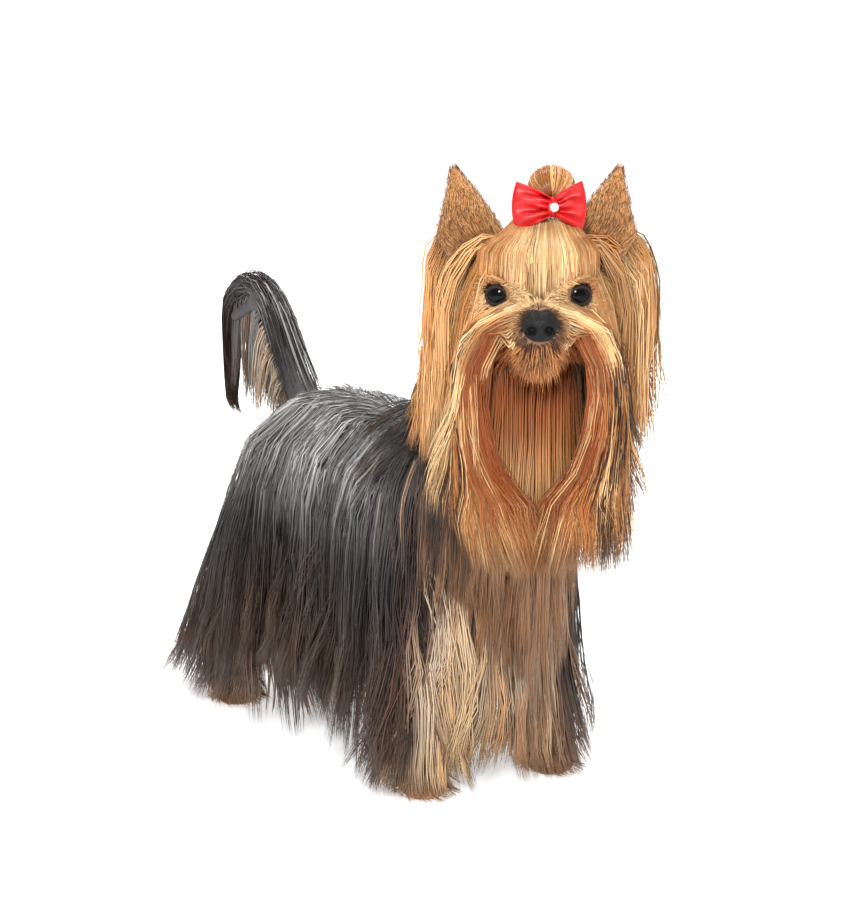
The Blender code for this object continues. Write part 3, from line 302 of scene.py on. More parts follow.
def drape(roots, headings, lengths, layers, obstacles, drift, limp, steps=22):
    """Lines of hair that leaves its root along a heading, bends down and lies on what is under it."""
    count = len(roots)
    stride = np.broadcast_to(lengths, count).astype(float)[:, None] / steps
    layers = np.broadcast_to(layers, count)
    limp = np.broadcast_to(limp, count)[:, None]
    drift = unit(np.broadcast_to(drift, roots.shape).astype(float))
    place, heading = roots.copy(), unit(headings)
    distance = clearance(obstacles)
    fall = 1 - np.exp(-stride / limp)
    line = [place]
    for step in range(1, steps + 1):
        heading = unit(heading * (1 - fall) + drift * fall)
        new = place + heading * stride
        for _ in range(2):
            depth, away = slope(new, distance)
            depth = depth - layers * min(1.0, 3.0 * step / steps)
            new = new + away * np.maximum(-depth, 0)[:, None]
            new[:, 2] = np.maximum(new[:, 2], FLOOR_HAIR)
            new = place + unit(new - place) * stride
        heading = unit(new - place)
        place = new
        line.append(place)
    return np.stack(line, axis=1)


def trimmed(lines, tips, points):
    """The lines cut where they first get down to their tip's height, with a fixed number of points.

    The height is one number, one for each line, or one for each point of each line.
    """
    count, fine, _ = lines.shape
    tips = np.asarray(tips, float)
    below = lines[:, :, 2] <= (tips if tips.ndim == 2 else np.broadcast_to(tips, count)[:, None])
    last = np.where(below.any(axis=1), np.maximum(below.argmax(axis=1), 3), fine - 1)
    at = np.linspace(0, 1, points)[None, :] * last[:, None]
    low = np.minimum(at.astype(int), fine - 2)
    share = (at - low)[..., None]
    rows = np.arange(count)[:, None]
    return lines[rows, low] * (1 - share) + lines[rows, low + 1] * share


def gathered(lines, locks, strength, rng):
    """Strands drawn towards the nearest of a few lead strands, more so near their tips. Also each one's lock."""
    leads = rng.choice(len(lines), min(locks, len(lines)), replace=False)
    tree = KDTree(len(leads))
    for i, lead in enumerate(leads):
        tree.insert(Vector(lines[lead, 0] * 0.6 + lines[lead, 3] * 0.4), i)
    tree.balance()
    near = np.array([tree.find(Vector(spot))[1] for spot in lines[:, 0] * 0.6 + lines[:, 3] * 0.4])
    lead_lines = lines[leads[near]]
    share = np.linspace(0, 1, lines.shape[1])[None, :, None] ** 1.3 * strength
    return lines + (lead_lines - lines) * share, near


def waved(lines, locks, normals, size, length, rng):
    """A slow sideways wave, shared by the strands of a lock, and a small one of each strand's own."""
    count, points, _ = lines.shape
    across = unit(np.cross(lines[:, points // 2] - lines[:, 0], normals))
    gone = np.concatenate((np.zeros((count, 1)), np.cumsum(np.linalg.norm(np.diff(lines, axis=1), axis=2), axis=1)), axis=1)
    along = np.linspace(0, 1, points)[None, :]
    swing = np.zeros((count, points))
    kinds = locks.max() + 1
    for phase, pace, reach in (
        (rng.random(kinds)[locks], rng.uniform(0.7, 1.3, kinds)[locks], rng.uniform(0.2, 1.0, kinds)[locks]),
        (rng.random(count), rng.uniform(0.8, 1.6, count), rng.uniform(0.0, 0.35, count)),
    ):
        turn = 2 * np.pi * (phase[:, None] + gone * pace[:, None] / length)
        swing += (np.sin(turn) - np.sin(turn[:, :1])) * reach[:, None]
    return lines + across[:, None] * (swing * along**0.8 * size)[..., None]


def off_the_eyes(lines, reach=0.0052):
    """Lines moved aside where they would cross an eye, seen along its gaze or from the front."""
    local = in_head(lines)
    for side in (1, -1):
        centre = eye_centre(side)
        for view in (eye_gaze(side), unit(np.array((0.0, -1.0, 0.10)))):
            way = local - centre
            ahead = way @ view
            across = way - ahead[..., None] * view
            off = np.linalg.norm(across, axis=-1)
            push = np.where(ahead > 0.001, np.maximum(reach - off, 0), 0)
            local = local + across * (push / np.maximum(off, 1e-5))[..., None]
    return from_head(local)


def strand_template(points):
    """Faces of one strand: a three-sided section along it, a cap at the root and a point at the tip."""
    faces = [(0, 1, 2)]
    for ring in range(points - 2):
        a, b = 3 * ring, 3 * ring + 3
        faces += [(a + k, b + k, b + (k + 1) % 3, a + (k + 1) % 3) for k in range(3)]
    a = 3 * (points - 2)
    faces += [(a + k, a + 3, a + (k + 1) % 3) for k in range(3)]
    return faces


def build_mesh(name, points, corners, starts, totals, marks, corner_uv=None):
    mesh = bpy.data.meshes.new(name)
    mesh.vertices.add(len(points))
    mesh.vertices.foreach_set("co", (points + TO_ROW).astype(np.float32).ravel())
    mesh.loops.add(len(corners))
    mesh.loops.foreach_set("vertex_index", corners.astype(np.int32))
    mesh.polygons.add(len(starts))
    mesh.polygons.foreach_set("loop_start", starts.astype(np.int32))
    mesh.polygons.foreach_set("use_smooth", np.ones(len(starts), bool))
    for key, values in marks.items():
        layer = mesh.attributes.new(key, "FLOAT", "POINT")
        layer.data.foreach_set("value", values.astype(np.float32).ravel())
    if corner_uv is not None:
        layer = mesh.uv_layers.new(name="OFBake")
        layer.data.foreach_set("uv", corner_uv.astype(np.float32).ravel())
    mesh.update(calc_edges=True)
    return mesh


def show(name, mesh, material, slot_name, *replaced):
    """Adds a piece, which rides on the only body and stands for CAD nodes."""
    mesh.materials.append(material)
    piece = bpy.data.objects.new(name, mesh)
    bpy.context.scene.collection.objects.link(piece)
    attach(piece, "root")
    if replaced:
        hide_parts(*replaced)
    return piece


PATCH = 0.003


def unwrapped(roots, axis_start, axis_end):
    """Places of roots on an unwrap of the skin round an axis: turn and way along, each from 0 to 1."""
    start, end = np.array(axis_start, float), np.array(axis_end, float)
    axis = unit(end - start)
    first = unit(np.cross(axis, (0.31, 0.11, 0.94)))
    second = np.cross(axis, first)
    way = roots - start
    turn = np.arctan2(way @ second, way @ first) / (2 * np.pi) + 0.5
    along = way @ axis
    along = (along - along.min()) / max(np.ptp(along), 1e-6)
    return np.stack((turn, along), axis=1) * (0.98 - PATCH) + 0.01


class Hair:
    """Strands of one kind: their lines, the outside at each root, their width and their marks."""

    def __init__(self, lines, normals, width, marks):
        self.lines = lines
        self.normals = normals
        self.width = np.broadcast_to(width, len(lines)) * 1.0
        self.marks = marks

    def part(self, keep):
        marks = {key: value[keep] for key, value in self.marks.items()}
        return Hair(self.lines[keep], self.normals[keep], self.width[keep], marks)


TAPER = ((0, 0.12, 0.6, 0.85, 1), (0.6, 1.0, 0.9, 0.6, 0.0))
STRAY = 0.0050  # How far a tip may stray past the solids' box


def held_in(lines):
    """Lines bent back where they would leave the solids' box by more than a stray tip may."""
    low, high = (np.array(corner) - TO_ROW for corner in CAD_BOX)
    middle, half = (low + high) / 2, (high - low) / 2
    off = np.abs(lines - middle)
    past = STRAY * np.tanh(np.maximum(off - half, 0) / STRAY)
    return middle + np.sign(lines - middle) * (np.minimum(off, half) + past)


def coat_piece(name, hairs, material, slot_name, axis, *replaced):
    """One mesh of strands. Hairs of several kinds may go in it."""
    all_points, all_corners, all_starts, all_totals, all_uv = [], [], [], [], []
    marks = {key: [] for key in ("tone", "tan", "pale", "deep", "along")}
    base, corner_base = 0, 0
    roots = np.concatenate([hair.lines[:, 0] for hair in hairs])
    patches = np.split(unwrapped(roots, *axis), np.cumsum([len(hair.lines) for hair in hairs])[:-1])
    for hair, patch in zip(hairs, patches):
        lines = held_in(hair.lines)
        count, points, _ = lines.shape
        tangents = unit(np.gradient(lines, axis=1))
        sideways = unit(np.cross(tangents, hair.normals[:, None]))
        facing = np.cross(sideways, tangents)
        along = np.linspace(0, 1, points)
        taper = np.interp(along, *TAPER)
        half = sideways * (hair.width[:, None] * taper * 0.5)[..., None]
        crown = facing * (hair.width[:, None] * taper * 0.26)[..., None]
        ring = np.stack((lines - half, lines + crown, lines + half), axis=2)[:, :-1]
        shaped = np.concatenate((ring.reshape(count, -1, 3), lines[:, -1:]), axis=1)
        size = shaped.shape[1]
        at = np.append(np.repeat(along[:-1], 3), 1.0)
        side = np.append(np.tile((0.0, 0.5, 1.0), points - 1), 0.5)
        template = strand_template(points)
        corners = np.concatenate([np.array(face) for face in template])
        totals = np.array([len(face) for face in template])
        all_points.append(shaped.reshape(-1, 3))
        all_corners.append((corners[None] + size * np.arange(count)[:, None] + base).ravel())
        all_totals.append(np.tile(totals, count))
        starts = np.concatenate(([0], np.cumsum(totals)[:-1]))
        all_starts.append((starts[None] + len(corners) * np.arange(count)[:, None] + corner_base).ravel())
        uv = patch[:, None] + PATCH * np.stack((side, at), axis=1)[None]
        all_uv.append(uv[:, corners].reshape(-1, 2))
        spread = [np.repeat(np.arange(points - 1), 3), [points - 1]]
        pick = np.concatenate(spread)
        for key in ("tone", "tan", "pale", "deep"):
            value = np.broadcast_to(hair.marks[key].reshape(count, -1), (count, points))
            marks[key].append(value[:, pick].ravel())
        marks["along"].append(np.tile(at, count))
        base += count * size
        corner_base += count * len(corners)
    joined = {key: np.concatenate(values) for key, values in marks.items()}
    mesh = build_mesh(
        name, np.concatenate(all_points), np.concatenate(all_corners), np.concatenate(all_starts),
        np.concatenate(all_totals), joined, np.concatenate(all_uv),
    )
    return show(name, mesh, material, slot_name, *replaced)


class Value:
    """An output socket, or what an expression on sockets gives. Each operator adds a Math node."""

    def __init__(self, finish, socket):
        self.finish = finish
        self.socket = socket

    def maths(self, operation, first, second):
        return self.finish.add("ShaderNodeMath", {"operation": operation}, {0: first, 1: second})

    def __add__(self, other):
        return self.maths("ADD", self, other)

    __radd__ = __add__

    def __mul__(self, other):
        return self.maths("MULTIPLY", self, other)

    __rmul__ = __mul__

    def __sub__(self, other):
        return self.maths("SUBTRACT", self, other)

    def __rsub__(self, other):
        return self.maths("SUBTRACT", other, self)

    def __truediv__(self, other):
        return self.maths("DIVIDE", self, other)

    def __pow__(self, other):
        return self.maths("POWER", self, other)


class Finish:
    """A Principled material whose varying inputs are set from expressions."""

    def __init__(self, name, **constants):
        self.material = bpy.data.materials.new(name)
        self.material.use_nodes = True
        self.tree = self.material.node_tree
        self.shader = self.tree.nodes["Principled BSDF"]
        for key, value in constants.items():
            self.shader.inputs[key.replace("_", " ")].default_value = value

    def set(self, key, value):
        """Links a value to an input of the shader."""
        self.tree.links.new(value.socket, self.shader.inputs[key])

    def add(self, kind, settings, values, output=0):
        node = self.tree.nodes.new(kind)
        for key, value in settings.items():
            setattr(node, key, value)
        for key, value in values.items():
            if isinstance(value, Value):
                self.tree.links.new(value.socket, node.inputs[key])
            else:
                node.inputs[key].default_value = value
        return Value(self, node.outputs[output])

    def mark(self, name):
        return self.add("ShaderNodeAttribute", {"attribute_name": name}, {}, "Fac")

    def place(self):
        return self.add("ShaderNodeTexCoord", {}, {}, "Object")

    def noise(self, scale, detail=3.0, roughness=0.5, vector=None, stretch=None):
        vector = vector or self.place()
        if stretch:
            vector = self.add("ShaderNodeMapping", {}, {"Vector": vector, "Scale": stretch})
        return self.add("ShaderNodeTexNoise", {}, {
            "Vector": vector, "Scale": scale, "Detail": detail, "Roughness": roughness}, "Fac")

    def step(self, value, low, high, first=0.0, last=1.0):
        return self.add("ShaderNodeMapRange", {"interpolation_type": "SMOOTHSTEP"}, {
            "Value": value, "From Min": low, "From Max": high, "To Min": first, "To Max": last}, "Result")

    def mix(self, share, first, second, blend="MIX"):
        settings = {"data_type": "RGBA", "blend_type": blend}
        return self.add("ShaderNodeMix", settings, {0: share, 6: colour(first), 7: colour(second)}, 2)

    def grey(self, value):
        """A number as a grey colour, for multiplying a colour."""
        return self.add("ShaderNodeCombineColor", {}, {0: value, 1: value, 2: value}, "Color")

    def bump(self, height, distance, strength=1.0):
        self.set("Normal", self.add("ShaderNodeBump", {}, {
            "Height": height, "Distance": distance, "Strength": strength}, "Normal"))


def colour(value):
    return value if isinstance(value, Value) else (*value[:3], 1.0)


def rgb(name, description, default):
    return FloatVectorProperty(name=name, description=description, default=default, size=3, subtype="COLOR", min=0, max=1)


class CoatLook(bpy.types.PropertyGroup):
    steel: rgb("Steel", "Hair of the back and sides", (0.055, 0.052, 0.050))
    # Silver is partly the coat's own silver streaks and partly painted sheen, standing in for light on the back
    silver_and_sheen: rgb("Silver", "Light streaks of the back", (0.50, 0.48, 0.46))
    black: rgb("Black", "Lower half of the side hair, and the tail's end", (0.017, 0.010, 0.007))
    brown: rgb("Brown", "Ends of the side hair", (0.095, 0.052, 0.030))
    tan: rgb("Tan", "Hair of the face and legs", (0.56, 0.225, 0.056))
    cream: rgb("Cream", "Light streaks of the face and chest", (0.92, 0.63, 0.32))
    rust: rgb("Rust", "Deep tan under the muzzle", (0.34, 0.083, 0.019))
    strand: FloatProperty(name="Strand width", description="Width of one strand of the long coat",
                          default=0.00095, unit="LENGTH")
    density: FloatProperty(name="Density", description="Share of the full number of strands", default=1.0, min=0.05, max=1)


class FaceLook(bpy.types.PropertyGroup):
    skin: rgb("Skin", "Bare skin round the eyes and lips", (0.012, 0.008, 0.007))
    iris: rgb("Iris", "Iris, near black", (0.009, 0.0045, 0.003))
    nose: rgb("Nose", "Nose leather", (0.0050, 0.0045, 0.0048))


class BowLook(bpy.types.PropertyGroup):
    satin: rgb("Satin", "Ribbon", (0.40, 0.0012, 0.0022))
    # Sheen is a painted highlight colour, laid on the ribbon in noise patches
    sheen: rgb("Sheen", "Light folds of the ribbon", (0.66, 0.006, 0.007))
    pearl: rgb("Pearl", "Bead at the bow's middle", (0.72, 0.66, 0.60))


class StageLook(bpy.types.PropertyGroup):
    floor: rgb("Floor", "Plain floor", (0.92, 0.92, 0.92))
    glow: FloatProperty(name="Floor glow", description="Light that the floor gives off, so that it shows white", default=0.55)
    sky: FloatProperty(name="Sky", description="Strength of the even light from all round", default=0.50)
    key: FloatProperty(name="Key light", description="Power of the main soft light", default=30.0, unit="POWER")


def looks():
    return bpy.context.scene.terrier_coat


SHARED = {}


def hair_finish():
    """The finish of every strand: steel or tan, light or deep, by the strands' marks, with noise patches of painted
    sheen.
    """
    if "hair" in SHARED:
        return SHARED["hair"]
    look = looks()
    finish = Finish("coat_hair", Roughness=0.36, Specular_IOR_Level=0.35)
    tone, tan, pale, deep, along = (finish.mark(key) for key in ("tone", "tan", "pale", "deep", "along"))
    # The pale mark turns steel to silver: partly the coat's own streaks, partly painted sheen
    steel = finish.mix(pale, look.steel, look.silver_and_sheen)
    steel = finish.mix(deep, steel, look.black)
    steel = finish.mix(finish.step(along, 0.50, 1.0, 0.0, 0.85), steel, look.brown)
    warm = finish.mix(pale, look.tan, look.cream)
    warm = finish.mix(deep, warm, look.rust)
    whole = finish.mix(tan, steel, warm)
    # Noise patches that brighten and darken the colour as painted sheen bands, and vary the roughness
    sheen_patches = finish.noise(38.0, 2.0)
    # The colour is multiplied by the random tone of each lock and strand, by the painted sheen patches, and is darker
    # at the roots
    light = (0.40 + 0.75 * tone) * (0.75 + 0.50 * sheen_patches) * finish.step(along, 0.0, 0.20, 0.75, 1.0)
    whole = finish.mix(1.0, whole, finish.grey(light), "MULTIPLY")
    finish.set("Base Color", whole)
    finish.set("Roughness", 0.24 + 0.20 * sheen_patches)
    SHARED["hair"] = finish.material
    return finish.material


def skin_finish():
    look = looks()
    finish = Finish("skin_under_coat", Roughness=0.7)
    tan = finish.mark("tan")
    grain = finish.noise(220.0, 3.0)
    dark = finish.mix(grain, (0.020, 0.018, 0.018), (0.055, 0.050, 0.050))
    warm = finish.mix(grain, (0.13, 0.060, 0.026), (0.27, 0.135, 0.060))
    finish.set("Base Color", finish.mix(tan, dark, warm))
    finish.bump(grain, 0.0004)
    return finish.material


def capsule(one, rings=8, sides=18):
    """Points and faces of a round lump."""
    start, end, start_radius, end_radius = one
    axis = unit(end - start) if np.linalg.norm(end - start) > 1e-6 else np.array((0.0, 0.0, 1.0))
    first = unit(np.cross(axis, (0.31, 0.62, 0.72)))
    second = np.cross(axis, first)
    points = [start - axis * start_radius]
    turns = 2 * np.pi * np.arange(sides) / sides
    spokes = np.cos(turns)[:, None] * first + np.sin(turns)[:, None] * second
    bends = np.linspace(0, np.pi, 2 * rings + 1)[1:-1]
    bends = np.insert(bends, rings, np.pi / 2)
    for i, bend in enumerate(bends):
        centre, radius = (start, start_radius) if i < rings else (end, end_radius)
        points.extend(centre - axis * math.cos(bend) * radius + spokes * math.sin(bend) * radius)
    points.append(end + axis * end_radius)
    faces = [(0, 1 + (i + 1) % sides, 1 + i) for i in range(sides)]
    count = len(bends)
    for ring in range(count - 1):
        a, b = 1 + ring * sides, 1 + (ring + 1) * sides
        faces += [(a + i, a + (i + 1) % sides, b + (i + 1) % sides, b + i) for i in range(sides)]
    a, last = 1 + (count - 1) * sides, len(points) - 1
    faces += [(a + i, a + (i + 1) % sides, last) for i in range(sides)]
    return np.array(points), faces


def eye_centre(side):
    return np.array((side * (EYE_SPACING / 2 - 0.0020), EYE_RADIUS - EYE_FORWARD, 0.0))


def eye_gaze(side):
    return unit(np.array((side * 0.28, -1.0, 0.02)))


class Skin:
    """The whole body's skin in the study frame: points, faces, normals and each face's form."""

    def __init__(self, voxel):
        points, faces = [], []
        for form in FORMS.values():
            for one in form[0]:
                more, their_faces = capsule(one)
                base = sum(len(p) for p in points)
                points.append(more)
                faces += [tuple(base + k for k in face) for face in their_faces]
        mesh = bpy.data.meshes.new("lumps")
        mesh.from_pydata(np.concatenate(points).tolist(), [], faces)
        body = bpy.data.objects.new("lumps", mesh)
        bpy.context.scene.collection.objects.link(body)
        remesh = body.modifiers.new("remesh", "REMESH")
        remesh.mode = "VOXEL"
        remesh.voxel_size = voxel
        done = bpy.data.meshes.new_from_object(body.evaluated_get(bpy.context.evaluated_depsgraph_get()))
        bpy.data.objects.remove(body)
        count = len(done.vertices)
        flat = np.empty(count * 3, np.float32)
        done.vertices.foreach_get("co", flat)
        self.points = flat.reshape(-1, 3).astype(float)
        self.faces = np.array([tuple(face.vertices) for face in done.polygons if len(face.vertices) == 4])
        bpy.data.meshes.remove(done)
        for _ in range(4):
            depth, away = slope(self.points, skin_distance)
            self.points -= away * np.clip(depth, -0.004, 0.004)[:, None]
        self.points[:, 2] = np.maximum(self.points[:, 2], 0.0)
        self.normals = slope(self.points, skin_distance)[1]
        self.centres = self.points[self.faces].mean(axis=1)
        a, b, c, d = (self.points[self.faces[:, k]] for k in range(4))
        self.areas = 0.5 * np.linalg.norm(np.cross(c - a, d - b), axis=1)
        self.form = np.argmin([form_distance(self.centres, FORMS[name]) for name in FORM_NAMES], axis=0)

    def of(self, *names):
        return np.isin(self.form, [FORM_NAMES.index(name) for name in names])

    def scatter(self, keep, count, rng, weight=None):
        """Random places over the kept faces, evenly by area or by a weight, and their normals."""
        chosen = np.flatnonzero(keep)
        share = self.areas[chosen] if weight is None else self.areas[chosen] * weight[chosen]
        count = max(int(count * looks().density), 8)
        picked = chosen[rng.choice(len(chosen), count, p=share / share.sum())]
        corners = self.points[self.faces[picked]]
        u, v = rng.random((2, count, 1))
        spots = (corners[:, 0] * (1 - u) + corners[:, 1] * u) * (1 - v) + (corners[:, 3] * (1 - u) + corners[:, 2] * u) * v
        return spots, unit(self.normals[self.faces[picked]].mean(axis=1))


def the_skin():
    if "skin" not in SHARED:
        SHARED["skin"] = Skin(0.0016)
    return SHARED["skin"]


def tan_share(points):
    """Where the skin carries tan hair: the head, the neck's front, the breast and the lower legs."""
    local = in_head(points)
    head = 1 - smooth(form_distance(points, FORMS["head"]), 0.004, 0.012)
    throat = 1 - smooth(form_distance(points, FORMS["neck"]), 0.004, 0.012)
    throat *= 1 - smooth(local[:, 1], 0.018, 0.032)
    head = np.maximum(head, throat)
    front = smooth(-points[:, 1], 0.100, 0.118)
    low = 1 - smooth(points[:, 2], 0.030, 0.062)
    return np.clip(np.maximum.reduce((head, front, low)), 0, 1)


def tangent_to(way, normals, lift):
    """The way drawn onto the skin, plus a share of the outside."""
    way = way - normals * np.sum(way * normals, axis=1, keepdims=True)
    return unit(way) + lift * normals


def leg_coat(depth=0.0):
    """The space that the legs' hair takes."""
    coat = []
    for side in (1, -1):
        x = side * (LEG_X + 0.001)
        coat.append(([lump((side * 0.037, -0.098, 0.110), (x, FRONT_LEG_Y, 0.0), 0.016, 0.020)], 0.01))
        coat.append(([lump((side * 0.036, STIFLE_Y, 0.110), (x, HIND_LEG_Y + 0.022, 0.0), 0.020, 0.026)], 0.01))
    return [(form, depth) for form in coat]


def lock_marks(locks, rng, share=0.72):
    """Brightness of strands: partly their lock's, partly their own."""
    of_lock = rng.random(locks.max() + 1)
    return np.clip(share * of_lock[locks] + (1 - share) * rng.random(len(locks)), 0, 1)


def body_hair(skin, rng):
    """Hair of the back, sides, rump and breast, from the parting along the spine to near the floor."""
    form = skin.of("torso")
    keep = form & (skin.centres[:, 2] > 0.118)
    weight = 1 + 2.4 * smooth(skin.centres[:, 2], 0.165, 0.189) + 1.2 * smooth(-skin.centres[:, 1], 0.096, 0.106)
    weight += 3.0 * (1 - smooth(np.abs(skin.centres[:, 0]), 0.003, 0.010)) * smooth(skin.normals[skin.faces[:, 0], 2], 0.5, 0.9)
    roots, normals = skin.scatter(keep, 7200, rng, weight)
    x, y, z = roots.T
    side = np.where(x + rng.normal(0, 0.0022, len(x)) > 0, 1.0, -1.0)
    top = smooth(normals[:, 2], 0.1, 0.9)
    back = np.interp(y, (-0.13, -0.08, 0.0, 0.05, 0.09), (-0.7, -0.25, 0.28, 0.62, 0.95))
    way = np.stack((side * (0.20 + 0.85 * top), back, -0.9 * (1 - top)), axis=1)
    headings = tangent_to(way, normals, 0.22)
    backward = np.interp(y, (-0.09, 0.0, 0.05, 0.09), (-0.02, 0.07, 0.20, 0.26))
    drift = np.stack((0.03 * side, backward + rng.normal(0, 0.02, len(y)), -np.ones(len(y))), axis=1)
    tips = np.interp(y, (-0.085, -0.050, 0.025, 0.050), (0.005, FRINGE_HEIGHT, FRINGE_HEIGHT, 0.005))
    tips = tips + np.abs(rng.normal(0, 0.010, len(y))) + np.where(rng.random(len(y)) < 0.12, rng.uniform(0, 0.06, len(y)), 0)
    layers = 0.0008 + 0.0105 * smooth(z, 0.125, 0.185) * rng.uniform(0.55, 1.0, len(z))
    obstacles = [(FORMS["torso"], 0.0), *leg_coat(0.0)]
    lengths = 1.10 * (z - tips) + 0.045
    limp = rng.uniform(0.008, 0.014, len(z))
    lines = drape(roots - normals * 0.0006, headings, lengths, layers, obstacles, drift, limp)
    lines = trimmed(lines, tips, 8)
    lines, locks = gathered(lines, 330, 0.72, rng)
    lines = waved(lines, locks, normals, 0.0078, 0.090, rng)
    flat = unit(normals * (1, 1, 0))
    turned = rng.uniform(-0.25, 1.0, locks.max() + 1)[locks]
    lines = flicked(lines, locks, np.stack((0.6 * flat[:, 0], turned, 0.25 + 0.0 * z), axis=1), 0.025, rng)
    tone = lock_marks(locks, rng)
    height = lines[:, :, 2]
    streak = rng.random(locks.max() + 1)[locks]
    fine = 0.45 * streak + 0.55 * rng.random(len(z))
    # Pale rises with height: the top of the coat shows silver, partly the coat's own streaks and partly painted sheen
    # where light falls on the back
    pale = smooth(height, 0.105, 0.175) * (0.14 + 0.80 * smooth(fine, 0.45, 0.85))[:, None]
    rear = smooth(y, 0.03, 0.08)[:, None]
    pale = pale + 0.40 * rear * smooth(streak, 0.3, 0.9)[:, None]
    deep = np.clip((1 - smooth(height, 0.095, 0.165)) * (0.95 - 0.65 * rear), 0, 1)
    reach = np.where(x > 0, 0.026, 0.030)
    breast = smooth(-y, 0.096, 0.112) * (1 - smooth(np.abs(x) - 0.3 * (-y - 0.1), reach, reach + 0.014))
    breast = breast[:, None] * (1 - 0.85 * smooth(height, 0.080, 0.125) * (streak < 0.8)[:, None])
    pale = pale * (1 - breast) + breast * (0.30 + 0.60 * streak)[:, None]
    deep = deep * (1 - breast) + breast * (0.30 * smooth(0.35 - streak, 0.0, 0.3))[:, None]
    front = smooth(-y, 0.094, 0.104)[:, None] * (1 - breast)
    pale = pale * (1 - 0.8 * front)
    deep = np.maximum(deep, 0.75 * front)
    fawn = breast * (0.35 + 0.40 * rng.random(locks.max() + 1)[locks])[:, None]
    marks = {"tone": tone, "tan": fawn, "pale": np.clip(pale, 0, 1), "deep": deep}
    return Hair(lines, normals, looks().strand * rng.uniform(0.7, 1.25, len(z)), marks), x, y


def spine_way(roots):
    """The way that the fur of the back lies: out from the spine and back to the tail."""
    return np.stack((40.0 * roots[:, 0], 0.7 + 0.0 * roots[:, 0], -0.3 + 0.0 * roots[:, 0]), axis=1)


def skull_way(roots):
    """The way that the fur behind the crown lies: back, and down on either side."""
    spot = in_head(roots)
    return head_vector(25.0 * spot[:, 0], 0.8 + 0.0 * spot[:, 0], -0.6 + 0.0 * spot[:, 0])


def under_fur(skin, keep, count, way, length, marks, rng):
    """Short fur that covers the skin where long hair parts."""
    roots, normals = skin.scatter(keep, count, rng)
    count = len(roots)
    headings = tangent_to(way(roots), normals, 0.08)
    lines = drape(roots - normals * 0.0004, headings, length * rng.uniform(0.6, 1.2, count), 0.0006,
                  [(FORMS["torso"], 0.0), (FORMS["head"], 0.0)], headings - (0, 0, 0.3), 0.012, steps=8)
    lines = trimmed(lines, -1.0, 4)
    spread = {key: np.clip(value * rng.uniform(0.5, 1.5, count), 0, 1) for key, value in marks.items()}
    return Hair(lines, normals, looks().strand * rng.uniform(0.8, 1.3, count), {"tone": rng.random(count), **spread})


def leg_hair(skin, name, rng):
    """Hair that rings a leg and falls to the floor, and short hair on the paw."""
    side = 1 if "left" in name else -1
    front = "front" in name
    z_all = skin.centres[:, 2]
    keep = skin.of(name) & (z_all > 0.020)
    roots, normals = skin.scatter(keep, 950, rng, 1 + 1.5 * smooth(z_all, 0.03, 0.09))
    x, y, z = roots.T
    count = len(z)
    back = 0.0 if front else 0.42
    flat = unit(normals * (1, 1, 0))
    headings = tangent_to(np.stack((0.3 * flat[:, 0], back + 0.3 * flat[:, 1], -np.ones(count)), axis=1), normals, 0.30)
    ahead = np.where(flat[:, 1] < 0, 0.26, 0.06)
    drift = np.stack((
        0.10 * flat[:, 0] + 0.02 * side + rng.normal(0, 0.03, count),
        ahead * flat[:, 1] + back * (0.40 + 0.70 * flat[:, 1]) + rng.normal(0, 0.04, count),
        -np.ones(count)), axis=1)
    tips = 0.0035 + np.abs(rng.normal(0, 0.006, count))
    layers = 0.0010 + 0.0085 * smooth(z, 0.030, 0.095) * rng.uniform(0.4, 1.0, count)
    centre = [(FORMS[name], 0.0)]
    lines = drape(roots - normals * 0.0005, headings, 1.15 * z + 0.025, layers, centre, drift, rng.uniform(0.006, 0.011, count))
    lines = trimmed(lines, tips, 7)
    lines, locks = gathered(lines, 60, 0.6, rng)
    lines = waved(lines, locks, normals, 0.0034, 0.070, rng)
    lines = flicked(lines, locks, np.stack((0.8 * flat[:, 0], 0.8 * flat[:, 1] + 0.5, 0.10 + 0.0 * z), axis=1), 0.012, rng)
    height = lines[:, :, 2]
    edge = 0.0 if side < 0 else -0.012
    outer = smooth(side * (x - side * LEG_X), edge, edge + 0.013) if front else 0.75 * np.ones(count)
    streak = rng.random(locks.max() + 1)[locks]
    tan = (1 - outer * 0.9)[:, None] * np.ones_like(height)
    tan = tan * (1 - 0.75 * smooth(height, 0.070, 0.105) * (streak < 0.7)[:, None])
    tan = np.maximum(tan, (1 - smooth(height, 0.008, 0.024)) * 0.35)
    pale = (0.30 + 0.65 * streak)[:, None] * tan + 0.12 * (1 - tan)
    tan = tan * (0.35 + 0.35 * rng.random(locks.max() + 1)[locks])[:, None]
    deep = 0.80 * (1 - np.minimum(2 * tan, 1)) * smooth(height, 0.0, 0.03) + 0.20 * tan * (streak < 0.25)[:, None]
    marks = {"tone": lock_marks(locks, rng), "tan": tan, "pale": pale, "deep": deep}
    long = Hair(lines, normals, looks().strand * rng.uniform(0.7, 1.2, count), marks)
    keep = skin.of(name) & (z_all < 0.026) & (z_all > 0.002)
    roots, normals = skin.scatter(keep, 420, rng)
    count = len(roots)
    headings = tangent_to(np.tile((0.0, -0.6, -0.9), (count, 1)), normals, 0.35)
    lines = drape(roots - normals * 0.0003, headings, rng.uniform(0.008, 0.015, count), 0.0012, centre,
                  (0, -0.4, -1), 0.01, steps=6)
    lines = trimmed(lines, -1.0, 4)
    marks = {"tone": rng.random(count), "tan": rng.uniform(0.3, 0.9, count), "pale": rng.uniform(0.1, 0.6, count),
             "deep": rng.uniform(0.1, 0.4, count)}
    return long, Hair(lines, normals, 0.00055, marks)


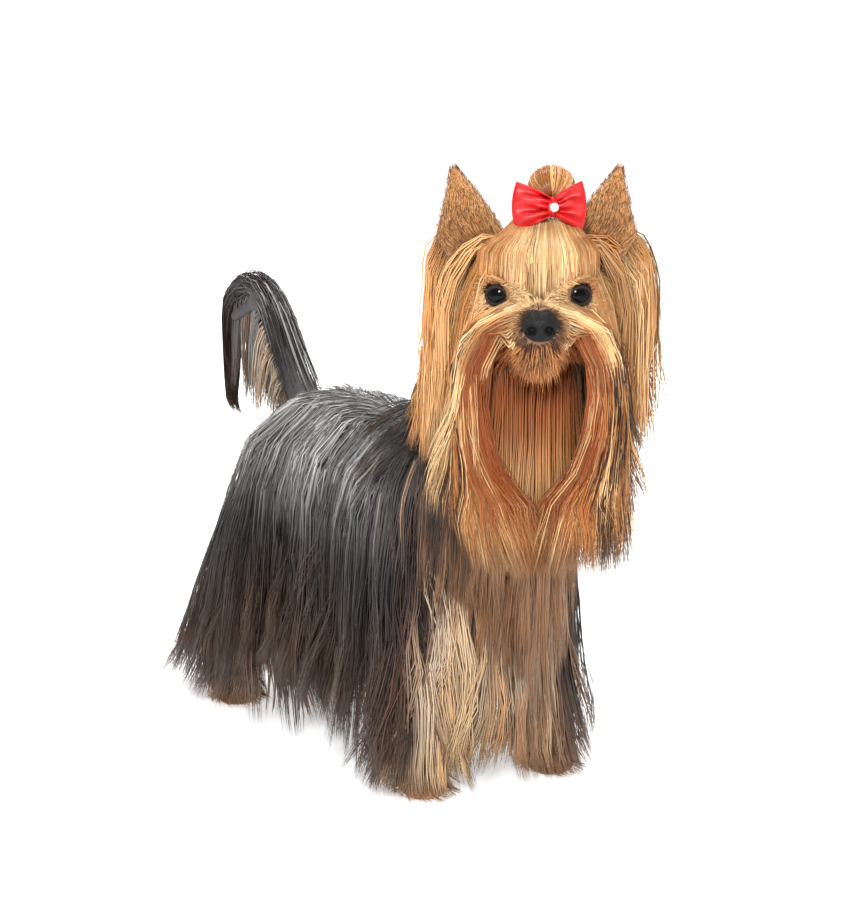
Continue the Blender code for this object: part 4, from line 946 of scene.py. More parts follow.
def neck_hair(skin, rng):
    """Rust hair of the throat, deeper towards the top with painted shade under the chin, tan hair over the breast, and
    dark hair over the shoulders.
    """
    ahead = smooth(-(skin.normals[skin.faces[:, 0]] @ head_vector(0, 1, 0)), 0.2, 0.8)
    roots, normals = skin.scatter(skin.of("neck"), 2650, rng, 1 + 2.5 * ahead)
    x, y, z = roots.T
    count = len(z)
    flat = unit(normals * (1, 1, 0))
    rear = smooth(flat[:, 1], 0.0, 0.6)
    headings = tangent_to(np.stack((0.4 * flat[:, 0], 0.3 * flat[:, 1], -np.ones(count)), axis=1), normals, 0.20)
    drift = np.stack((0.09 * flat[:, 0], 0.12 * rear - 0.02, -np.ones(count)), axis=1)
    tips = 0.070 + 0.055 * np.abs(flat[:, 0]) + 0.090 * rear + rng.normal(0, 0.012, count)
    tips = np.minimum(tips, z - 0.03)
    layers = 0.0010 + 0.0080 * smooth(z, 0.17, 0.25) * rng.uniform(0.4, 1.0, count)
    obstacles = [(FORMS["neck"], 0.0), (FORMS["torso"], 0.0080), *leg_coat(0.006)]
    lengths = 1.15 * (z - tips) + 0.02
    lines = drape(roots - normals * 0.0005, headings, lengths, layers, obstacles, drift, rng.uniform(0.006, 0.011, count))
    lines = trimmed(lines, tips, 8)
    lines, locks = gathered(lines, 130, 0.55, rng)
    lines = waved(lines, locks, normals, 0.0030, 0.080, rng)
    streak = rng.random(locks.max() + 1)[locks]
    turned = smooth(-(normals @ head_vector(0, 1, 0)), 0.0, 0.4) * smooth(flat[:, 0], -0.2, 0.2)
    front = np.maximum(smooth(-flat[:, 1], 0.0, 0.5), turned)
    height = lines[:, :, 2]
    # Deep rises towards the top of the throat, under the chin: the rust there is partly the coat's own colour and
    # partly painted shade
    high = smooth(height, 0.165, 0.225)
    tan = front[:, None] * (0.45 + 0.55 * smooth(height, 0.120, 0.160))
    pale = tan * (1 - high) * (0.25 + 0.6 * streak)[:, None] + (1 - tan) * 0.10
    deep = tan * (0.15 + 0.80 * high) + (1 - tan) * 0.55
    marks = {"tone": 0.25 + 0.45 * lock_marks(locks, rng), "tan": tan, "pale": pale, "deep": deep}
    return Hair(lines, normals, 0.00095 * rng.uniform(0.7, 1.2, count), marks)


def head_obstacles():
    return [(FORMS["head"], 0.0), (FORMS["neck"], 0.0060), (FORMS["torso"], 0.0120), *leg_coat(0.009)]


def curve_through(spots, points):
    """A smooth curve through a few spots, or one through each row of spots."""
    spots = np.asarray(spots, float)
    first = 2 * spots[..., :1, :] - spots[..., 1:2, :]
    last = 2 * spots[..., -1:, :] - spots[..., -2:-1, :]
    spots = np.concatenate((first, spots, last), axis=-2)
    place = np.linspace(0, spots.shape[-2] - 3.0001, points)
    low = place.astype(int)
    t = (place - low)[:, None]
    a, b, c, d = (spots[..., low + k, :] for k in range(4))
    return 0.5 * (2 * b + (c - a) * t + (2 * a - 5 * b + 4 * c - d) * t**2 + (3 * b - a - 3 * c + d) * t**3)


def flicked(lines, locks, ways, size, rng):
    """Tips that turn aside, in some locks more than in others."""
    reach = (rng.random(locks.max() + 1) ** 2)[locks] * size
    ways = np.broadcast_to(ways, (len(lines), 3))
    bend = smooth(np.linspace(0, 1, lines.shape[1]), 0.60, 1.0) ** 1.5
    return lines + ways[:, None] * (reach[:, None] * bend[None])[..., None]


def forehead_hair(skin, rng):
    """Hair of the forehead, which puffs out a little and is drawn up under the bow."""
    local = in_head(skin.centres)
    brow = -0.0010 + 0.20 * np.maximum(np.abs(local[:, 0]) - 0.006, 0)
    keep = skin.of("head") & (local[:, 1] < 0.004) & (local[:, 2] > brow) & (eye_off(local) > 0.0056)
    roots, normals = skin.scatter(keep, 2700, rng, 1 + 7.0 * (1 - smooth(local[:, 2], 0.008, 0.016)))
    count = len(roots)
    spot = in_head(roots)
    x, y, z = spot.T
    puff = rng.uniform(0.1, 1.0, count) * (1 - smooth(z, 0.010, 0.026))
    low = 1 - smooth(z, 0.014, 0.030)
    away = x - KNOT_AT[0]
    end = np.stack((KNOT_AT[0] + 0.34 * away, -0.0005 + 0.0 * x, 0.0410 + 0.0005 * puff), axis=1)
    near = np.stack((KNOT_AT[0] + 0.66 * away, -0.0180 - 0.0015 * puff, 0.0314 - 0.0008 * puff), axis=1)
    wide = KNOT_AT[0] + 0.94 * away
    bulge = np.sqrt(np.maximum((SKULL_RADIUS + 0.0006 + 0.0032 * puff) ** 2 - wide**2 - 0.0195**2, 0.00012))
    middle = np.stack((wide, -0.006 - bulge, 0.0230 + 0.0 * x), axis=1)
    near = low[:, None] * near + (1 - low)[:, None] * (0.45 * spot + 0.55 * end)
    middle = low[:, None] * middle + (1 - low)[:, None] * (0.75 * spot + 0.25 * near)
    rise = 0.5 * (spot + middle) + np.stack((0.02 * away * low, -0.0016 - 0.0020 * puff * low, 0.0 * x), axis=1)
    lines = curve_through(np.stack((spot, rise, middle, near, end), axis=1), 8)
    lines += np.sin(np.pi * np.linspace(0, 1, 8))[None, :, None] * rng.normal(0, 0.0004, (count, 1, 3))
    lines = off_the_eyes(out_of(from_head(lines), [(FORMS["head"], 0.0003)]), 0.0056)
    lines, locks = gathered(lines, 150, 0.30, rng)
    column = 0.5 + 0.5 * np.sin(1900 * x + 2.0 * np.sin(700 * x) + 1.5)
    streak = np.clip(column + rng.normal(0, 0.22, count), 0, 1)
    middle = 1 - smooth(np.abs(x - 0.002), 0.010, 0.026)
    pale = np.clip(0.12 + 0.80 * middle * (0.35 + 0.65 * streak) + 0.25 * smooth(streak, 0.6, 1), 0, 1)
    deep = 0.30 * (1 - middle) * (1 - smooth(streak, 0.2, 0.7))
    marks = {"tone": lock_marks(locks, rng), "tan": np.ones(count), "pale": pale, "deep": deep}
    return Hair(lines, normals, 0.00060 * rng.uniform(0.7, 1.2, count), marks)


def out_of(lines, obstacles):
    """Lines moved out of what they would pass through."""
    flat = lines.reshape(-1, 3)
    for _ in range(2):
        depth, away = slope(flat, clearance(obstacles))
        flat = flat + away * np.maximum(-depth, 0)[:, None]
    return flat.reshape(lines.shape)


def eye_off(local):
    """Distance from the nearer eye's line of gaze, large behind the eye."""
    found = []
    for side in (1, -1):
        way, gaze = local - eye_centre(side), eye_gaze(side)
        ahead = way @ gaze
        off = np.linalg.norm(way - ahead[..., None] * gaze, axis=-1)
        found.append(np.where(ahead > 0, off, 1.0))
    return np.min(found, axis=0)


def eye_gap(local):
    """Distance from the nearer eye's centre, in the head's frame."""
    return np.min([np.linalg.norm(local - eye_centre(side), axis=-1) for side in (1, -1)], axis=0)


def face_fur(skin, rng):
    """Short fur of the muzzle, round the eyes and on the chin, lying away from the nose."""
    local = in_head(skin.centres)
    x, y, z = local.T
    keep = skin.of("head") & (y < 0.008) & (z < 0.009) & (z > -0.045) & (eye_off(local) > 0.0052)
    keep &= np.linalg.norm(local - np.array(NOSE_AT), axis=1) > 0.0086
    roots, normals = skin.scatter(keep, 5700, rng, 1 + 2.0 * smooth(-y, 0.0, 0.03))
    spot = in_head(roots)
    count = len(roots)
    away = unit(spot - np.array((0, -0.058, -0.004)))
    side = np.where(spot[:, 0] > 0, 1.0, -1.0)
    centre = np.array([eye_centre(1), eye_centre(-1)])[(side < 0).astype(int)]
    from_eye = unit((spot - centre) * (1, 0, 1))
    close = 1 - smooth(eye_off(spot), 0.0056, 0.0110)
    low = smooth(-spot[:, 2], 0.018, 0.028)
    way = np.stack((away[:, 0] * 1.3, away[:, 1] * 0.6, away[:, 2] * 0.4 - 0.45 - 0.5 * low), axis=1)
    way = way * (1 - close)[:, None] + 1.4 * from_eye * close[:, None]
    way = head_vector(*way.T)
    headings = tangent_to(way, normals, 0.22)
    lengths = np.interp(spot[:, 1], (-0.055, -0.035, -0.015, 0.01), (0.0036, 0.0055, 0.0075, 0.011))
    lengths = lengths * (1 - 0.50 * close) * rng.uniform(0.7, 1.2, count) * (1 + 0.5 * low)
    lines = drape(roots - normals * 0.0003, headings, lengths, rng.uniform(0.0003, 0.0010, count),
                  [(FORMS["head"], 0.0)], way + np.array((0, 0, -0.15)), 0.012, steps=6)
    lines = off_the_eyes(trimmed(lines, -1.0, 4), 0.0050)
    mouth = np.exp(-(((spot[:, 2] + 0.0235) / 0.0075) ** 2)) * smooth(-spot[:, 1], 0.014, 0.028)
    mouth = np.maximum(mouth, 1 - smooth(np.linalg.norm(spot - NOSE_AT, axis=1), 0.0088, 0.0125))
    rim = 1 - smooth(eye_off(spot), 0.0054, 0.0070)
    bridge = np.exp(-((spot[:, 0] / 0.013) ** 2)) * smooth(spot[:, 2], -0.010, -0.003)
    pale = np.clip(0.10 + 0.85 * bridge + 0.25 * rng.random(count), 0, 1) * (1 - mouth)
    deep = np.clip(0.95 * mouth + 0.75 * rim + 0.20 * smooth(-spot[:, 2], 0.018, 0.030), 0, 1)
    marks = {"tone": (0.35 + 0.65 * rng.random(count)) * (1 - 0.8 * mouth), "tan": 1 - 0.85 * mouth, "pale": pale, "deep": deep}
    return Hair(lines, normals, 0.00042 * rng.uniform(0.7, 1.3, count), marks)


def curtain_tips(lines, rng):
    """The height at which hair that frames the face ends, at each point of each line."""
    across = in_head(lines)[..., 0]
    edge = np.interp(
        across, (-0.058, -0.046, -0.024, 0.005, 0.034, 0.044, 0.056), (0.200, 0.158, 0.131, 0.122, 0.124, 0.127, 0.190))
    count = len(lines)
    short = np.where(rng.random(count) < 0.22, rng.uniform(0, 0.050, count), 0)
    return edge + (np.abs(rng.normal(0, 0.007, count)) + short)[:, None]


def hanging(lines, locks_count, normals, points, tips, wave, rng):
    """Trims, gathers and waves long hair. Also gives each strand's lock."""
    lines = trimmed(lines, tips, points)
    lines, locks = gathered(lines, locks_count, 0.6, rng)
    return waved(lines, locks, normals, wave, 0.070, rng), locks


# How the hair beside the muzzle falls: depths under the eyes, and the inner and outer edge at each
CURTAIN_DEPTHS = (0.018, 0.036, 0.053, 0.072, 0.093, 0.110, 0.128, 0.150)
CURTAIN_EDGES = {
    1: ((0.0170, 0.0265, 0.0290, 0.0265, 0.0195, 0.0045, -0.0010, -0.0060),
        (0.0375, 0.0435, 0.0455, 0.0458, 0.0450, 0.0440, 0.0430, 0.0420)),
    -1: ((0.0165, 0.0255, 0.0275, 0.0262, 0.0195, 0.0040, -0.0030, -0.0100),
         (0.0365, 0.0425, 0.0440, 0.0438, 0.0430, 0.0415, 0.0375, 0.0310)),
}


def moustache_hair(skin, rng):
    """Hair that starts on the bridge and the muzzle, sweeps out under the eyes and falls beside the throat."""
    local = in_head(skin.centres)
    x, y, z = local.T
    keep = skin.of("head") & (y < -0.010) & (y > -0.044) & (z > -0.0225) & (z < -0.0010 + 0.06 * np.abs(x))
    keep &= (np.abs(x) > 0.0008) & (eye_off(local) > 0.0060)
    roots, normals = skin.scatter(keep, 3300, rng, 1 + 1.5 * smooth(z, -0.010, -0.003))
    spot = in_head(roots)
    count = len(roots)
    x, y, z = spot.T
    side = np.sign(x)
    rank = 0.70 * (z + 0.0225) / 0.0205 + 0.30 * (y + 0.044) / 0.034 + rng.normal(0, 0.14, count)
    rank = np.clip(rank, 0, 1)
    inner = np.array([CURTAIN_EDGES[int(one)][0] for one in side])
    outer = np.array([CURTAIN_EDGES[int(one)][1] for one in side])
    width = inner + (outer - inner) * np.clip(1.2 * (rank - 0.15) + rng.normal(0, 0.06, count), 0, 1)[:, None]
    ahead = -0.016 - 0.009 * rank + rng.normal(0, 0.0015, count)
    under = np.minimum(z - 0.0005 - 0.0045 * (1 - rank), -0.0070)
    first = np.stack((x + 0.45 * (side * width[:, 0] - x), y + 0.0015, under), axis=1)
    spots = [spot, first]
    loose = rng.normal(0, 1, count)
    for k, depth in enumerate(CURTAIN_DEPTHS):
        width[:, k] += loose * (0.0, 0.0, 0.0005, 0.0015, 0.0030, 0.0045, 0.0060, 0.0075)[k]
        blend = (0.45, 0.75, 1.0)[min(k, 2)]
        spots.append(np.stack((side * width[:, k], y * (1 - blend) + ahead * blend, 0.0 * z - depth), axis=1))
    lines = from_head(curve_through(np.stack(spots, axis=1), 30))
    lines = out_of(lines, [(form, depth + 0.001) for form, depth in head_obstacles()])
    lines = off_the_eyes(lines, 0.0058)
    lines, locks = hanging(lines, 200, normals, 10, curtain_tips(lines, rng), 0.0036, rng)
    lines = flicked(lines, locks, head_vector(side * 0.9, -0.25, 0.25), np.where(side > 0, 0.024, 0.014), rng)
    streak = rng.random(locks.max() + 1)[locks]
    inner = ((1 - smooth(rank, 0.45, 0.80)) * np.where(streak < 0.8, 1.0, 0.35))[:, None]
    along = np.linspace(0, 1, lines.shape[1])[None, :]
    low = 1 - smooth(lines[:, :, 2], 0.135, 0.180)
    start = 1 - smooth(along, 0.04, 0.20)
    pale = (0.08 + 0.85 * smooth(streak, 0.45, 0.85))[:, None] * (1 - 0.80 * inner * (1 - 0.6 * low)) + 0.55 * start
    deep = inner * smooth(along, 0.08, 0.26) * (1 - 0.75 * low)
    deep = deep + 0.75 * (streak < 0.30)[:, None] * (1 - start) * (1 - 0.5 * low)
    dark = (rank > np.where(side > 0, 0.66, 0.86)) & (rng.random(locks.max() + 1)[locks] < np.where(side > 0, 0.70, 0.50))
    black = dark[:, None] * smooth(along, 0.22, 0.45)
    pale, deep = np.clip(pale * (1 - black), 0, 1), np.clip(deep + 0.95 * black, 0, 1)
    marks = {"tone": lock_marks(locks, rng), "tan": 1 - 0.92 * black, "pale": pale, "deep": deep}
    return Hair(lines, normals, 0.00080 * rng.uniform(0.7, 1.25, count), marks), spot[:, 0]


def chin_hair(skin, rng):
    """Soft hair of the lower lip and chin, which falls back to the throat."""
    local = in_head(skin.centres)
    keep = skin.of("head") & (local[:, 1] < -0.006) & (local[:, 2] < -0.020) & (np.abs(local[:, 0]) < 0.024)
    roots, normals = skin.scatter(keep, 1100, rng)
    spot = in_head(roots)
    count = len(roots)
    headings = tangent_to(head_vector(0.8 * spot[:, 0] / 0.02, -0.1, -0.9), normals, 0.5)
    drift = head_vector(0.3 * spot[:, 0] / 0.02, 0.9, -1.0) + rng.normal(0, 0.16, (count, 3))
    lengths = rng.uniform(0.005, 0.013, count) + 0.010 * (rng.random(count) < 0.12)
    lines = drape(roots - normals * 0.0004, headings, lengths, 0.0010 + 0.003 * rng.random(count),
                  [(FORMS["head"], 0.0), (FORMS["neck"], 0.006)], drift, rng.uniform(0.004, 0.009, count), steps=8)
    lines = trimmed(lines, -1.0, 5)
    front = smooth(-spot[:, 1], 0.024, 0.036)
    marks = {"tone": rng.random(count), "tan": np.ones(count), "pale": 0.35 * front * rng.random(count),
             "deep": np.clip(1.0 - 0.55 * front, 0, 1)}
    return Hair(lines, normals, 0.00042 * rng.uniform(0.7, 1.2, count), marks), spot[:, 0]


def cheek_hair(skin, rng):
    """Long hair of the cheeks and of the crown in front of the ears, and darker hair behind."""
    local = in_head(skin.centres)
    x, y, z = local.T
    sides = (y >= -0.020) & (y < 0.036) & (np.abs(x) > 0.018) & (z < 0.024) & (z > -0.030)
    crown = (y >= -0.012) & (z >= 0.020) & ((np.abs(x) > 0.010) | (y > 0.002))
    behind = (y >= 0.014) & (z > -0.02)
    keep = skin.of("head") & (eye_off(local) > 0.011) & (sides | crown | behind)
    roots, normals = skin.scatter(keep, 3900, rng, 1 + 1.2 * sides + 1.5 * crown)
    spot = in_head(roots)
    x, y, z = spot.T
    count = len(z)
    side = np.sign(x)
    rear = smooth(y, 0.006, 0.026)
    high = smooth(z, 0.010, 0.024)
    headings = tangent_to(head_vector(side, -0.30 * high * (1 - rear) + 0.9 * rear, -0.25 - 0.55 * high), normals, 0.30)
    target = 0.044 + 0.009 * rng.random(count) - 0.010 * rear
    limp = np.clip((target - np.abs(x)) * 0.75, 0.004, 0.026)
    drift = head_vector(side * rng.uniform(-0.11, 0.0 + 0.02 * (side > 0), count), 0.03 * rear, -1.0)
    layers = 0.0010 + (0.0020 + 0.0060 * high) * rng.uniform(0.2, 1.0, count)
    lines = drape(roots - normals * 0.0004, headings, 1.0 * (roots[:, 2] - 0.11) + 0.03, layers, head_obstacles(), drift, limp)
    lines = off_the_eyes(lines, 0.0070)
    tips = curtain_tips(lines, rng) + (0.050 * rear + 0.018 * (1 - rear))[:, None]
    lines, locks = hanging(lines, 220, normals, 8, tips, 0.0030, rng)
    lines = flicked(lines, locks, head_vector(side * 0.9, 0.1, 0.15), 0.007, rng)
    streak = rng.random(locks.max() + 1)[locks]
    shape = np.ones((count, lines.shape[1]))
    along = np.linspace(0, 1, lines.shape[1])[None, :]
    some = np.where(side > 0, 0.50, 0.25)
    dark = np.maximum(rear * (streak < 0.55), smooth(y, -0.014, -0.002) * (1 - 0.5 * high) * (streak < some))[:, None] * shape
    pale = (0.08 + 0.85 * smooth(streak, 0.50, 0.95))[:, None] * (0.7 + 0.3 * along)
    deep = (0.35 * smooth(0.45 - streak, 0.0, 0.3))[:, None] * shape
    marks = {"tone": lock_marks(locks, rng), "tan": 1 - 0.9 * dark, "pale": pale * (1 - 0.8 * dark),
             "deep": np.clip(deep + 0.65 * dark, 0, 1)}
    return Hair(lines, normals, 0.00080 * rng.uniform(0.7, 1.25, count), marks), x


def ear_spot(side, u, t, lift=0.0):
    """A point of the ear: u from the inner to the outer edge, t from the skull to the tip."""
    u, t = np.broadcast_arrays(np.asarray(u, float), np.asarray(t, float))
    inner_x = 0.0150 + 0.0270 * t - 0.0030 * np.sin(np.pi * t)
    inner_z = 0.0240 + 0.0375 * t
    outer_x = np.interp(t, (0, 0.2, 0.42, 1), (0.026, 0.045, 0.0515, 0.0432))
    outer_z = np.interp(t, (0, 0.2, 0.42, 1), (0.004, 0.015, 0.0265, 0.0615))
    x = inner_x + u * (outer_x - inner_x)
    z = inner_z + u * (outer_z - inner_z)
    cup = (0.0115 - 0.0095 * t) * (1 - (2 * u - 1) ** 2)
    lean = -0.0015 + 0.0065 * t + 0.0035 * (u - 0.5) * (1 - t)
    return np.array(HEAD_CENTRE) + head_vector(side * x, lean + cup + lift, z)


def ear_finish():
    finish = Finish("ear_skin", Roughness=0.62)
    grain = finish.noise(260.0, 4.0)
    patch = finish.noise(60.0, 2.0)
    warm = finish.mix(patch, (0.16, 0.075, 0.040), (0.30, 0.155, 0.085))
    finish.set("Base Color", finish.mix(grain, warm, (0.10, 0.050, 0.032)))
    finish.bump(grain, 0.0004)
    return finish.material


def ear_mesh(name, side, rows=26, columns=20, thickness=0.0013):
    t, u = np.meshgrid(np.linspace(0, 1, rows), np.linspace(0, 1, columns), indexing="ij")
    front = ear_spot(side, u, t)
    normals = unit(np.cross(np.gradient(front, axis=1), np.gradient(front, axis=0)))
    if side < 0:
        normals = -normals
    rim = np.minimum.reduce((u, 1 - u, 1 - t)) * 8
    depth = thickness * np.clip(rim, 0.25, 1)[..., None]
    points = np.concatenate((front.reshape(-1, 3), (front - normals * depth).reshape(-1, 3)))
    return grid_solid(name, points, rows, columns, side < 0)


def grid_solid(name, points, rows, columns, flip=False):
    """A closed plate from two grids of points, one behind the other."""
    back = rows * columns
    faces = []
    for r in range(rows - 1):
        for c in range(columns - 1):
            a = r * columns + c
            b = a + columns
            faces += [(a, b, b + 1, a + 1), (back + a, back + a + 1, back + b + 1, back + b)]
    rim = list(range(columns)) + [r * columns + columns - 1 for r in range(1, rows)]
    rim += [(rows - 1) * columns + c for c in range(columns - 2, -1, -1)]
    rim += [r * columns for r in range(rows - 2, 0, -1)]
    for i, a in enumerate(rim):
        b = rim[(i + 1) % len(rim)]
        faces.append((a, b, back + b, back + a))
    if flip:
        faces = [face[::-1] for face in faces]
    return plain_mesh(name, points, faces)


def plain_mesh(name, points, faces):
    corners = np.concatenate([np.array(face) for face in faces])
    totals = np.array([len(face) for face in faces])
    starts = np.concatenate(([0], np.cumsum(totals)[:-1]))
    return build_mesh(name, np.asarray(points), corners, starts, totals, {})


def ear_fur(side, rng):
    """Short fur inside and outside the ear, and the long hair of its edges and back."""
    hairs = []
    for face, count in ((1, 2700), (-1, 1200)):
        count = int(count * looks().density)
        u, t = rng.uniform(0.01, 0.99, count), rng.uniform(0.0, 0.99, count) ** 1.1
        spots = ear_spot(side, u, t)
        across = ear_spot(side, u + 0.02, t) - spots
        up = ear_spot(side, u, t + 0.02) - spots
        normals = unit(np.cross(across, up)) * side
        normals = normals * np.where(normals @ head_vector(0, -1, 0) > 0, 1, -1)[:, None] * face
        spots = spots + normals * (0.0001 if face > 0 else 0.0013)
        way = unit(unit(up) + unit(across) * (u - 0.5)[:, None] * 0.7)
        edge = smooth(np.minimum(u, 1 - u), 0.0, 0.12)
        lengths = (0.0024 + 0.0026 * (1 - t)) * (0.55 + 0.45 * edge) * rng.uniform(0.7, 1.2, count)
        share = np.linspace(0, 1, 4)[None, :, None]
        bend = way[:, None] * share + normals[:, None] * (0.22 * share - 0.10 * share**2)
        lines = spots[:, None] + bend * lengths[:, None, None]
        middle = (1 - (2 * u - 1) ** 2) * (1 - 0.5 * t)
        if face > 0:
            deep, pale = 0.12 * middle, 0.25 + 0.40 * (1 - middle)
            tan = 1.0 - 0.18 * middle
        else:
            deep, pale, tan = 0.20 * np.ones(count), 0.15 * np.ones(count), np.ones(count)
        marks = {"tone": rng.random(count), "tan": tan, "pale": pale * rng.random(count), "deep": deep * rng.uniform(0.5, 1, count)}
        hairs.append(Hair(lines, normals, 0.00040 * rng.uniform(0.7, 1.3, count), marks))
    return hairs


def ear_curtain(side, rng):
    """Long hair from the ear's outer edge and back, and golden hair that sweeps across its foot."""
    count = int(950 * looks().density)
    kind = rng.random(count)
    outer = kind < 0.55
    foot = kind > 0.82
    u = np.where(outer, rng.uniform(0.72, 1.0, count), rng.uniform(0.2, 0.9, count))
    t = np.where(outer, rng.uniform(0.02, 0.46, count), rng.uniform(0.0, 0.30, count))
    u = np.where(foot, rng.uniform(0.0, 0.55, count), u)
    t = np.where(foot, rng.uniform(0.0, 0.12, count), t)
    front = foot | (outer & (rng.random(count) < 0.5))
    roots = ear_spot(side, u, t, np.where(front, -0.0002, 0.0012))
    ahead = np.where(front, -0.35, 0.55)
    normals = unit(head_vector(side * 0.6, np.where(front, -1.0, 1.0), 0.1))
    way = head_vector(side * np.where(foot, 0.9, 0.70), ahead, np.where(foot, -0.2, 0.05))
    flare = rng.uniform(-0.06, 0.04, count) if side < 0 else rng.uniform(-0.14, 0.02, count)
    drift = head_vector(side * flare, 0.0, -1.0) + rng.normal(0, 0.015, (count, 3))
    tips = 0.186 + np.abs(rng.normal(0, 0.012, count)) + 0.012 * (~front)
    tips = np.where(rng.random(count) < 0.2, rng.uniform(0.19, 0.26, count), tips)
    obstacles = [(form, depth + 0.0035) for form, depth in head_obstacles()]
    layers = rng.uniform(0.0, 0.006, count)
    lengths = 1.12 * (roots[:, 2] - tips) + 0.03
    lines = drape(roots, way, lengths, layers, obstacles, drift, np.where(foot, 0.022, rng.uniform(0.006, 0.0125 + 0.003 * side, count)))
    lines, locks = hanging(lines, 70, normals, 8, tips, 0.0030, rng)
    lines = flicked(lines, locks, head_vector(side * 0.9, 0.1, 0.10), 0.010, rng)
    streak = rng.random(locks.max() + 1)[locks]
    shape = np.ones((count, lines.shape[1]))
    along = np.linspace(0, 1, lines.shape[1])[None, :]
    dark = np.where(front, 0.0, smooth(0.45 - streak, 0.0, 0.2))[:, None] * shape * smooth(along, 0.1, 0.5)
    marks = {
        "tone": lock_marks(locks, rng), "tan": 1 - 0.8 * dark, "deep": 0.15 * (1 - streak)[:, None] * shape + 0.45 * dark,
        "pale": (0.12 + 0.55 * smooth(streak, 0.35, 0.90))[:, None] * (1 - dark),
    }
    return Hair(lines, normals, 0.00085 * rng.uniform(0.7, 1.25, count), marks)


def knot_hair(rng):
    """The topknot: hair that fans up from the ribbon, arches over a dome and falls behind it."""
    count = int(1300 * looks().density)
    points = 9
    front = unit(np.array((0.0, -0.93, -0.38)))
    turn = rng.uniform(-2.0, 2.0, (count, 1))
    shell = rng.uniform(0.60, 1.0, (count, 1)) ** 0.5
    outward = np.sin(turn) * (1.0, 0.0, 0.0) + np.cos(turn) * np.cross((1.0, 0.0, 0.0), front) * -1
    bend = np.linspace(0.12, 2.75, points)[None, :, None] + rng.normal(0, 0.05, (count, 1, 1))
    ball = np.cos(bend) * front + np.sin(bend) * outward[:, None]
    ball = ball * shell[:, None] * (1.0, 0.86, 1.0)
    local = ball * KNOT_DOME + (KNOT_AT[0] + 0.0020, KNOT_AT[1] + 0.0060, KNOT_AT[2] + 0.0078)
    lines = from_head(local)
    lines, locks = gathered(lines, 90, 0.25, rng)
    normals = unit(lines[:, points // 2] - from_head(np.array((KNOT_AT[0], KNOT_AT[1] + 0.006, KNOT_AT[2] + 0.008))))
    streak = rng.random(locks.max() + 1)[locks]
    marks = {"tone": lock_marks(locks, rng), "tan": np.ones(count), "pale": 0.10 + 0.75 * smooth(streak, 0.45, 0.85),
             "deep": 0.7 * smooth(0.40 - streak, 0.0, 0.2)}
    return Hair(lines, normals, 0.00070 * rng.uniform(0.7, 1.2, count), marks)


# The tail hair's arch from the tail's root over its top to the tips, which turn in
ARCH = (
    (0, 0.078, 0.180), (0, 0.097, 0.205), (0, 0.114, 0.230), (0, 0.131, 0.2420), (0, 0.151, 0.2400), (0, 0.171, 0.222),
    (0, 0.182, 0.200), (0, 0.180, 0.181), (0, 0.168, 0.167), (0, 0.154, 0.160),
)


def plume_hair(rng):
    """Black hair that lies along the tail, arches over its end and hangs, its tips turned in."""
    count = int(1300 * looks().density)
    arch = curve_through(ARCH, 60)
    first = rng.uniform(0.0, 0.52, count)
    last = np.minimum(first + rng.uniform(0.30, 0.60, count), 1.0)
    last = np.where(rng.random(count) < 0.45, rng.uniform(0.85, 1.0, count), last)
    points = 9
    at = (first[:, None] + (last - first)[:, None] * np.linspace(0, 1, points)[None, :]) * 59
    low = np.minimum(at.astype(int), 58)
    share = (at - low)[..., None]
    path = arch[low] * (1 - share) + arch[low + 1] * share
    tangents = unit(np.gradient(path, axis=1))
    inside = unit(np.cross(tangents, (1.0, 0.0, 0.0)))
    turn, size = rng.uniform(0, 2 * np.pi, (count, 1)), np.sqrt(rng.random((count, 1)))
    thick = np.interp(at / 59, (0, 0.3, 0.5, 0.8, 1.0), (0.0125, 0.0085, 0.0062, 0.0042, 0.0012))
    wide = np.interp(at / 59, (0, 0.3, 0.6, 1.0), (0.0130, 0.0090, 0.0075, 0.0030))
    lines = path + inside * (np.sin(turn) * size * thick)[..., None]
    lines[..., 0] += np.cos(turn) * size * wide - 0.004 * at / 59
    normals = unit(lines[:, 2] - path[:, 2] + 1e-5)
    lines, locks = gathered(lines, 60, 0.35, rng)
    lines = waved(lines, locks, normals, 0.0012, 0.06, rng)
    streak = rng.random(locks.max() + 1)[locks]
    # Silver near the tail's root: partly the coat's own streaks, partly painted sheen
    silver_and_sheen = (1 - smooth(at / 59, 0.25, 0.45)) * (0.15 + 0.6 * smooth(streak, 0.5, 0.95))[:, None]
    marks = {"tone": lock_marks(locks, rng), "tan": np.zeros(count), "pale": silver_and_sheen + 0.10 * streak[:, None],
             "deep": 1 - silver_and_sheen}
    return Hair(lines, normals, 0.00080 * rng.uniform(0.6, 1.1, count), marks)


